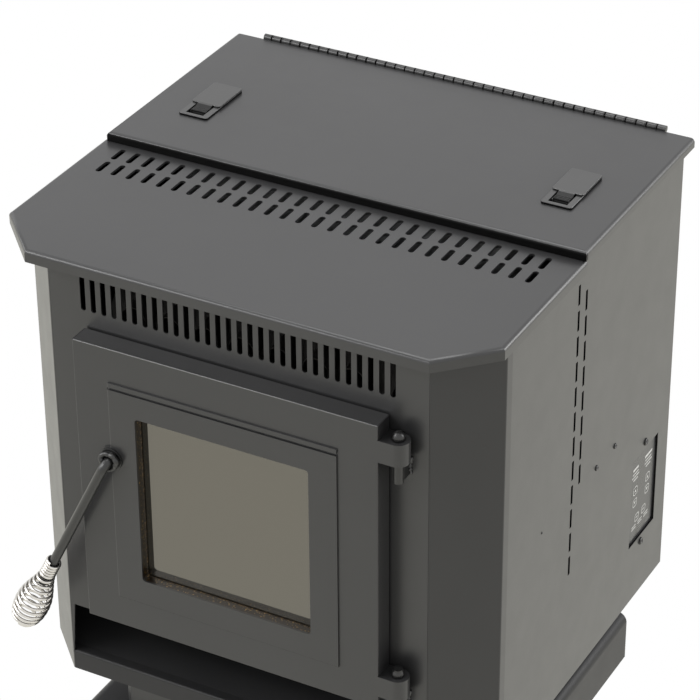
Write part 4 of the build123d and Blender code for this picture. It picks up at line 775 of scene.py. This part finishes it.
def key_ring(y, z, width, height):
    """Outlined key: a rounded square ring of printed line."""
    half = np.array([width / 2, height / 2])
    outer = rounded_square() * half + [y, z]
    inner = rounded_square() * (half - KEY_LINE) + [y, z]
    return ring_slab(outer * MM, inner * MM, MARK_FACE * MM, INK_THICK * MM)


def printed(outline, thick=INK_THICK):
    """A filled mark on the face of the control panel."""
    return slab(outline * MM, MARK_FACE * MM, thick * MM)


def printed_rows(ys, top, pitch, widths, height, thick=INK_THICK):
    """Columns of plain bars, one below another."""
    return [printed(bar_outline(y, top - pitch * row, width, height), thick)
            for y in ys for row, width in enumerate(widths)]


def arrow_key(y, z, key, up):
    """An outlined key with an arrow in it."""
    return [key_ring(y, z, key, key * 0.96), printed(arrow_outline(y, z, key * 0.42, up))]


def bar_key(y, z, key):
    """An outlined key with a bar in it."""
    return [key_ring(y, z, key, key * 0.9), printed(bar_outline(y, z, key * 0.45, 1.1))]


class STOVE_OT_control_panel(bpy.types.Operator):
    """Lay the overlay, outlined keys, arrows and bars on the recessed control panel"""

    bl_idname = "stove.control_panel"
    bl_label = "Control panel"

    def execute(self, context):
        key = sizes().key_size / MM
        sheet = rounded_square(0.04) * [35.6, 60.3] + KEYPAD_MIDDLE
        overlay = slab(sheet * MM, KEYPAD_FACE * MM, OVERLAY_THICK * MM)
        piece = put_mesh("keypad_overlay", *overlay, "stove", finish_named("overlay"), False)

        marks = []
        for y, z in UP_KEYS:
            marks += arrow_key(y, z, key, True)
        for y, z in DOWN_KEYS:
            marks += arrow_key(y, z, key, False)
        for y, z in BAR_KEYS:
            marks += bar_key(y, z, key)
        for y, width in HEADINGS:
            marks.append(printed(bar_outline(y, HEADING_Z, width, HEADING_HIGH)))
        for rows in INK_ROWS:
            marks += printed_rows(*rows)
        piece = put_mesh("keypad_marks", *join_parts(marks), "stove", finish_named("ink"), False)

        faint = []
        for rows in FAINT_ROWS:
            faint += printed_rows(*rows, thick=FAINT_THICK)
        piece = put_mesh("keypad_rules", *join_parts(faint), "stove", finish_named("faint_ink"), False)
        return {"FINISHED"}


# ------------------------------------------------------------------ screws, pin heads and welds
def screw_head(y, z, way, radius):
    """Pan head on a side panel: x = dome(r) less a cross recess, on a polar grid."""
    rings, spokes = 9, 32
    dome_high, recess_deep, arm_half, arm_reach = 0.55, 0.25, 0.13, 0.6
    r, angle = polar_grid(rings, spokes)
    across, up = r * np.cos(angle), r * np.sin(angle)
    dome = dome_high * np.sqrt(np.maximum(0, 1 - r ** 2.6))
    off_arm = np.minimum(np.abs(up), np.abs(across))
    height = dome - np.where((off_arm < arm_half) & (r < arm_reach), recess_deep, 0.0)
    grid = np.stack([way * height, across, up], -1).reshape(-1, 3)
    middles = [[way * (dome_high - recess_deep), 0, 0], [0, 0, 0]]
    points = np.concatenate([grid, middles]) * radius + np.array([way * SIDE_X, y, z]) * MM
    faces = polar_faces(rings, spokes)
    return points, faces if way > 0 else [face[::-1] for face in faces]


class STOVE_OT_screws(bpy.types.Operator):
    """Set cross-recess screw heads on both side panels"""

    bl_idname = "stove.screws"
    bl_label = "Panel screws"

    def execute(self, context):
        radius = sizes().screw_radius
        parts = []
        for way in (-1, 1):
            for y, share in SCREWS:
                parts.append(screw_head(y, SCREW_Z, way, radius * share))
        for z in PANEL_SCREW_ZS:
            parts.append(screw_head(PANEL_SCREW_Y, z, 1, radius * PANEL_SCREW_SHARE))
        piece = put_mesh("panel_screw_heads", *join_parts(parts), "stove", finish_named("fitting"))
        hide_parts("panel_screws")
        return {"FINISHED"}


PIN_LIFT = 0.05                       # keeps the heads clear of the lugs


def pin_cap(z):
    """Domed head of a hinge pin: height times the root of 1 - r^2.4, on a polar grid."""
    rings, spokes, radius, height = 11, 40, 7.3, 9.7
    r, angle = polar_grid(rings, spokes)
    up = height * np.sqrt(np.maximum(0, 1 - r ** 2.4))
    grid = np.stack([radius * r * np.cos(angle), radius * r * np.sin(angle), up], -1).reshape(-1, 3)
    points = np.concatenate([grid, [[0, 0, height], [0, 0, 0]]]) + [PIN_X, PIN_Y, z]
    return points * MM, polar_faces(rings, spokes)


class STOVE_OT_pin_caps(bpy.types.Operator):
    """Set the domed heads on the two door hinge pins"""

    bl_idname = "stove.pin_caps"
    bl_label = "Hinge pin heads"

    def execute(self, context):
        caps = [pin_cap(top + PIN_LIFT) for top in LUG_TOPS]
        piece = put_mesh("hinge_pin_caps", *join_parts(caps), "stove", finish_named("fitting"))
        return {"FINISHED"}


HINGE_BEADS = ((206.2, 0.6, 1.55), (193.4, 2.2, 1.0))  # x, seed and share of the usual thickness
HINGE_BEAD_ENDS = (27.6, 48.6)        # head and foot of a bead, below the top of its lug
ELBOW_REACH, ELBOW_THICK = 9.4, 3.3   # radius of the bead's loop and of the bead


def weld_ripple(count, steps, seed):
    """Thickness of a hand-laid bead: a ripple for each drop of metal, swelled unevenly by two slow waves."""
    u = np.linspace(0, 1, steps)
    drops = np.abs(np.sin(np.pi * count * u))
    swell = 1 + 0.22 * np.sin(2 * np.pi * 1.7 * u + seed) + 0.14 * np.sin(2 * np.pi * 4.3 * u + 2.1 * seed)
    return (0.72 + 0.28 * drops) * swell


def hinge_bead(x, top, seed, radius):
    """Upright bead beside a hinge block, drifting a little from a straight line."""
    steps = 60
    head, foot = HINGE_BEAD_ENDS
    drift = 0.7 * np.sin(np.linspace(0, 7, steps) + seed)
    path = np.column_stack([x + drift, np.full(steps, HINGE_BEAD_Y),
                            np.linspace(top - head, top - foot, steps)])
    return tube(path * MM, radius * weld_ripple(5, steps, seed), FORWARD, 14)


def elbow_bead():
    """Closed bead round the handle's elbow.

    Its radius is even but for waves of three and of seven round the loop, and its thickness is nine
    drops of metal, swelled by a slow wave.
    """
    steps = 96
    a = np.linspace(0, 2 * np.pi, steps, endpoint=False)
    reach = ELBOW_REACH + 0.7 * np.sin(3 * a) + 0.4 * np.sin(7 * a + 0.6)
    loop = np.column_stack([HANDLE_PIVOT[0] + reach * np.cos(a), np.full(steps, ELBOW_BEAD_Y),
                            HANDLE_PIVOT[2] + reach * np.sin(a)])
    thick = ELBOW_THICK * (0.8 + 0.2 * np.abs(np.sin(4.5 * a))) * (1 + 0.16 * np.sin(2 * a + 1.0))
    return ring_tube(loop * MM, thick * MM, FORWARD, 12)


class STOVE_OT_welds(bpy.types.Operator):
    """Run hand-laid weld beads down the hinge blocks and round the handle's elbow"""

    bl_idname = "stove.welds"
    bl_label = "Welds"

    def execute(self, context):
        radius = sizes().weld_radius
        beads = [hinge_bead(x, top, seed, radius * share)
                 for top in LUG_TOPS for x, seed, share in HINGE_BEADS]
        piece = put_mesh("hinge_weld_beads", *join_parts(beads), "stove", finish_named("paint"))

        piece = put_mesh("handle_weld_bead", *elbow_bead(), "door_handle", finish_named("fitting"))
        return {"FINISHED"}


# ------------------------------------------------------------------ stage
CAMERA_PLACE = (1.363457, -2.506228, 2.260485)
CAMERA_AZIMUTH = math.radians(28.53446)   # round from the front, towards the control panel
CAMERA_ELEVATION = math.radians(31.48736)
CAMERA_ROLL = math.radians(-0.41207)
FOCAL_PIXELS = 2978.494
PICTURE_PIXELS = 700
SENSOR = 36.0
CAMERA_SIGHT = 60.0
FLOOR_REACH = 9.0
WORLD_LIGHT = 0.42
CAMERA_WHITE, MIRRORED_WHITE = (1.0, 1.0, 1.0), (1.0, 0.985, 0.90)
# Lamps: name, place, target, size and power.
LAMPS = (
    ("key", (-0.3, 0.3, 3.4), (0, 0, 0.4), (1.6, 1.6), 30),
    ("front", (-1.7, -2.4, 2.5), (0, 0, 0.5), (1.3, 0.7), 22),
    ("left", (-2.8, -1.4, 1.9), (0, 0, 0.4), (2.2, 2.2), 44),
    ("right", (2.6, 1.7, 1.6), (0.2, 0, 0.4), (2.0, 1.8), 66),
)


def turned(right, up, back, place):
    """Matrix of a lamp or camera: the directions of its own X, Y and Z, and its place in metres."""
    return Matrix([[right[i], up[i], back[i], place[i]] for i in range(3)] + [[0, 0, 0, 1]])


def area_light(name, place, target, size, power):
    """Soft rectangular lamp at a place in metres, turned to face its target."""
    data = bpy.data.lights.new(name, "AREA")
    data.shape = "RECTANGLE"
    data.size, data.size_y = size
    data.energy = power
    lamp = bpy.data.objects.new(name, data)
    bpy.context.collection.objects.link(lamp)
    way = np.array(target, float) - np.array(place, float)
    back = -way / np.linalg.norm(way)
    right = np.cross([0, 0, 1], back)
    right /= np.linalg.norm(right)
    lamp.matrix_world = turned(right, np.cross(back, right), back, place)


def photo_camera(name):
    """Camera at its place, looking along its azimuth and elevation, and rolled about that line."""
    data = bpy.data.cameras.new(name)
    data.sensor_width = SENSOR
    data.lens = FOCAL_PIXELS / PICTURE_PIXELS * SENSOR
    data.clip_end = CAMERA_SIGHT
    camera = bpy.data.objects.new(name, data)
    bpy.context.collection.objects.link(camera)
    side, depth = math.cos(CAMERA_AZIMUTH), math.sin(CAMERA_AZIMUTH)
    level = math.cos(CAMERA_ELEVATION)
    ahead = np.array([-depth * level, side * level, -math.sin(CAMERA_ELEVATION)])
    across = np.array([side, depth, 0.0])
    right = math.cos(CAMERA_ROLL) * across + math.sin(CAMERA_ROLL) * np.cross(across, ahead)
    camera.matrix_world = turned(right, np.cross(right, ahead), -ahead, CAMERA_PLACE)
    return camera


def stage_white(name, colour):
    """Floor finish: diffuse under the stove, white for the camera and warm white for reflections."""
    material = bpy.data.materials.new(name)
    material.use_nodes = True
    tree = material.node_tree
    tree.nodes.clear()
    rays = add_node(tree, "ShaderNodeLightPath").outputs
    seen = add_node(tree, "ShaderNodeBsdfDiffuse", {"Color": (*colour, 1)}).outputs[0]
    for ray, white in (("Is Glossy Ray", MIRRORED_WHITE), ("Is Camera Ray", CAMERA_WHITE)):
        glow = add_node(tree, "ShaderNodeEmission", {"Color": (*white, 1)}).outputs[0]
        seen = add_node(tree, "ShaderNodeMixShader", {0: rays[ray], 1: seen, 2: glow}).outputs[0]
    add_node(tree, "ShaderNodeOutputMaterial", {"Surface": seen})
    return material


def pale_floor(name):
    """Square floor at the stove's foot, reaching past the camera."""
    corners = np.array([(-1, -1, 0), (1, -1, 0), (1, 1, 0), (-1, 1, 0)]) * FLOOR_REACH
    mesh = bpy.data.meshes.new(name)
    mesh.from_pydata(corners.tolist(), [], [[0, 1, 2, 3]])
    mesh.materials.append(stage_white("floor_white", tuple(colours().floor)))
    floor = bpy.data.objects.new(name, mesh)
    bpy.context.collection.objects.link(floor)


def white_world(name):
    """World that is white to the camera and in reflections, and lights the stove less strongly."""
    world = bpy.data.worlds.new(name)
    world.use_nodes = True
    tree = world.node_tree
    rays = add_node(tree, "ShaderNodeLightPath").outputs
    either = add_node(tree, "ShaderNodeMath", {0: rays["Is Camera Ray"], 1: rays["Is Glossy Ray"]},
                      operation="MAXIMUM").outputs[0]
    strength = add_node(tree, "ShaderNodeMapRange",
                        {"Value": either, "To Min": WORLD_LIGHT, "To Max": 1.0}).outputs["Result"]
    background = tree.nodes["Background"].inputs
    background["Color"].default_value = (1, 1, 1, 1)
    tree.links.new(strength, background["Strength"])
    return world


class STOVE_OT_stage(bpy.types.Operator):
    """Set the camera, the pale floor, the soft lamps and the white world"""

    bl_idname = "stove.stage"
    bl_label = "Stage"

    def execute(self, context):
        bpy.context.scene.camera = photo_camera("camera")
        pale_floor("floor")
        for lamp in LAMPS:
            area_light(*lamp)
        context.scene.world = white_world("white")
        context.scene.view_settings.view_transform = "Standard"
        return {"FINISHED"}


class STOVE_PT_panel(bpy.types.Panel):
    """Lists the stove's operators, sizes and colours"""

    bl_label = "Pellet Stove"
    bl_idname = "STOVE_PT_panel"
    bl_space_type = "VIEW_3D"
    bl_region_type = "UI"
    bl_category = "Pellet Stove"

    def draw(self, context):
        for operator in OPERATORS:
            self.layout.operator(operator.bl_idname)
        for group in (context.scene.stove_sizes, context.scene.stove_colours):
            for key in group.__annotations__:
                self.layout.prop(group, key)


OPERATORS = (
    STOVE_OT_finishes,
    STOVE_OT_coil_grip,
    STOVE_OT_control_panel,
    STOVE_OT_screws,
    STOVE_OT_pin_caps,
    STOVE_OT_welds,
    STOVE_OT_stage,
)
CLASSES = (StoveSizes, StoveColours) + OPERATORS + (STOVE_PT_panel,)


def register():
    """Registers the classes and hangs the sizes and colours on the scene."""
    for cls in CLASSES:
        bpy.utils.register_class(cls)
    bpy.types.Scene.stove_sizes = PointerProperty(type=StoveSizes)
    bpy.types.Scene.stove_colours = PointerProperty(type=StoveColours)


def unregister():
    """Takes back what register did."""
    del bpy.types.Scene.stove_colours
    del bpy.types.Scene.stove_sizes
    for cls in reversed(CLASSES):
        bpy.utils.unregister_class(cls)


def main():
    """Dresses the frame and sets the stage."""
    register()
    bpy.ops.stove.finishes()
    bpy.ops.stove.coil_grip()
    bpy.ops.stove.control_panel()
    bpy.ops.stove.screws()
    bpy.ops.stove.pin_caps()
    bpy.ops.stove.welds()
    bpy.ops.stove.stage()


if __name__ == "__main__":
    main()
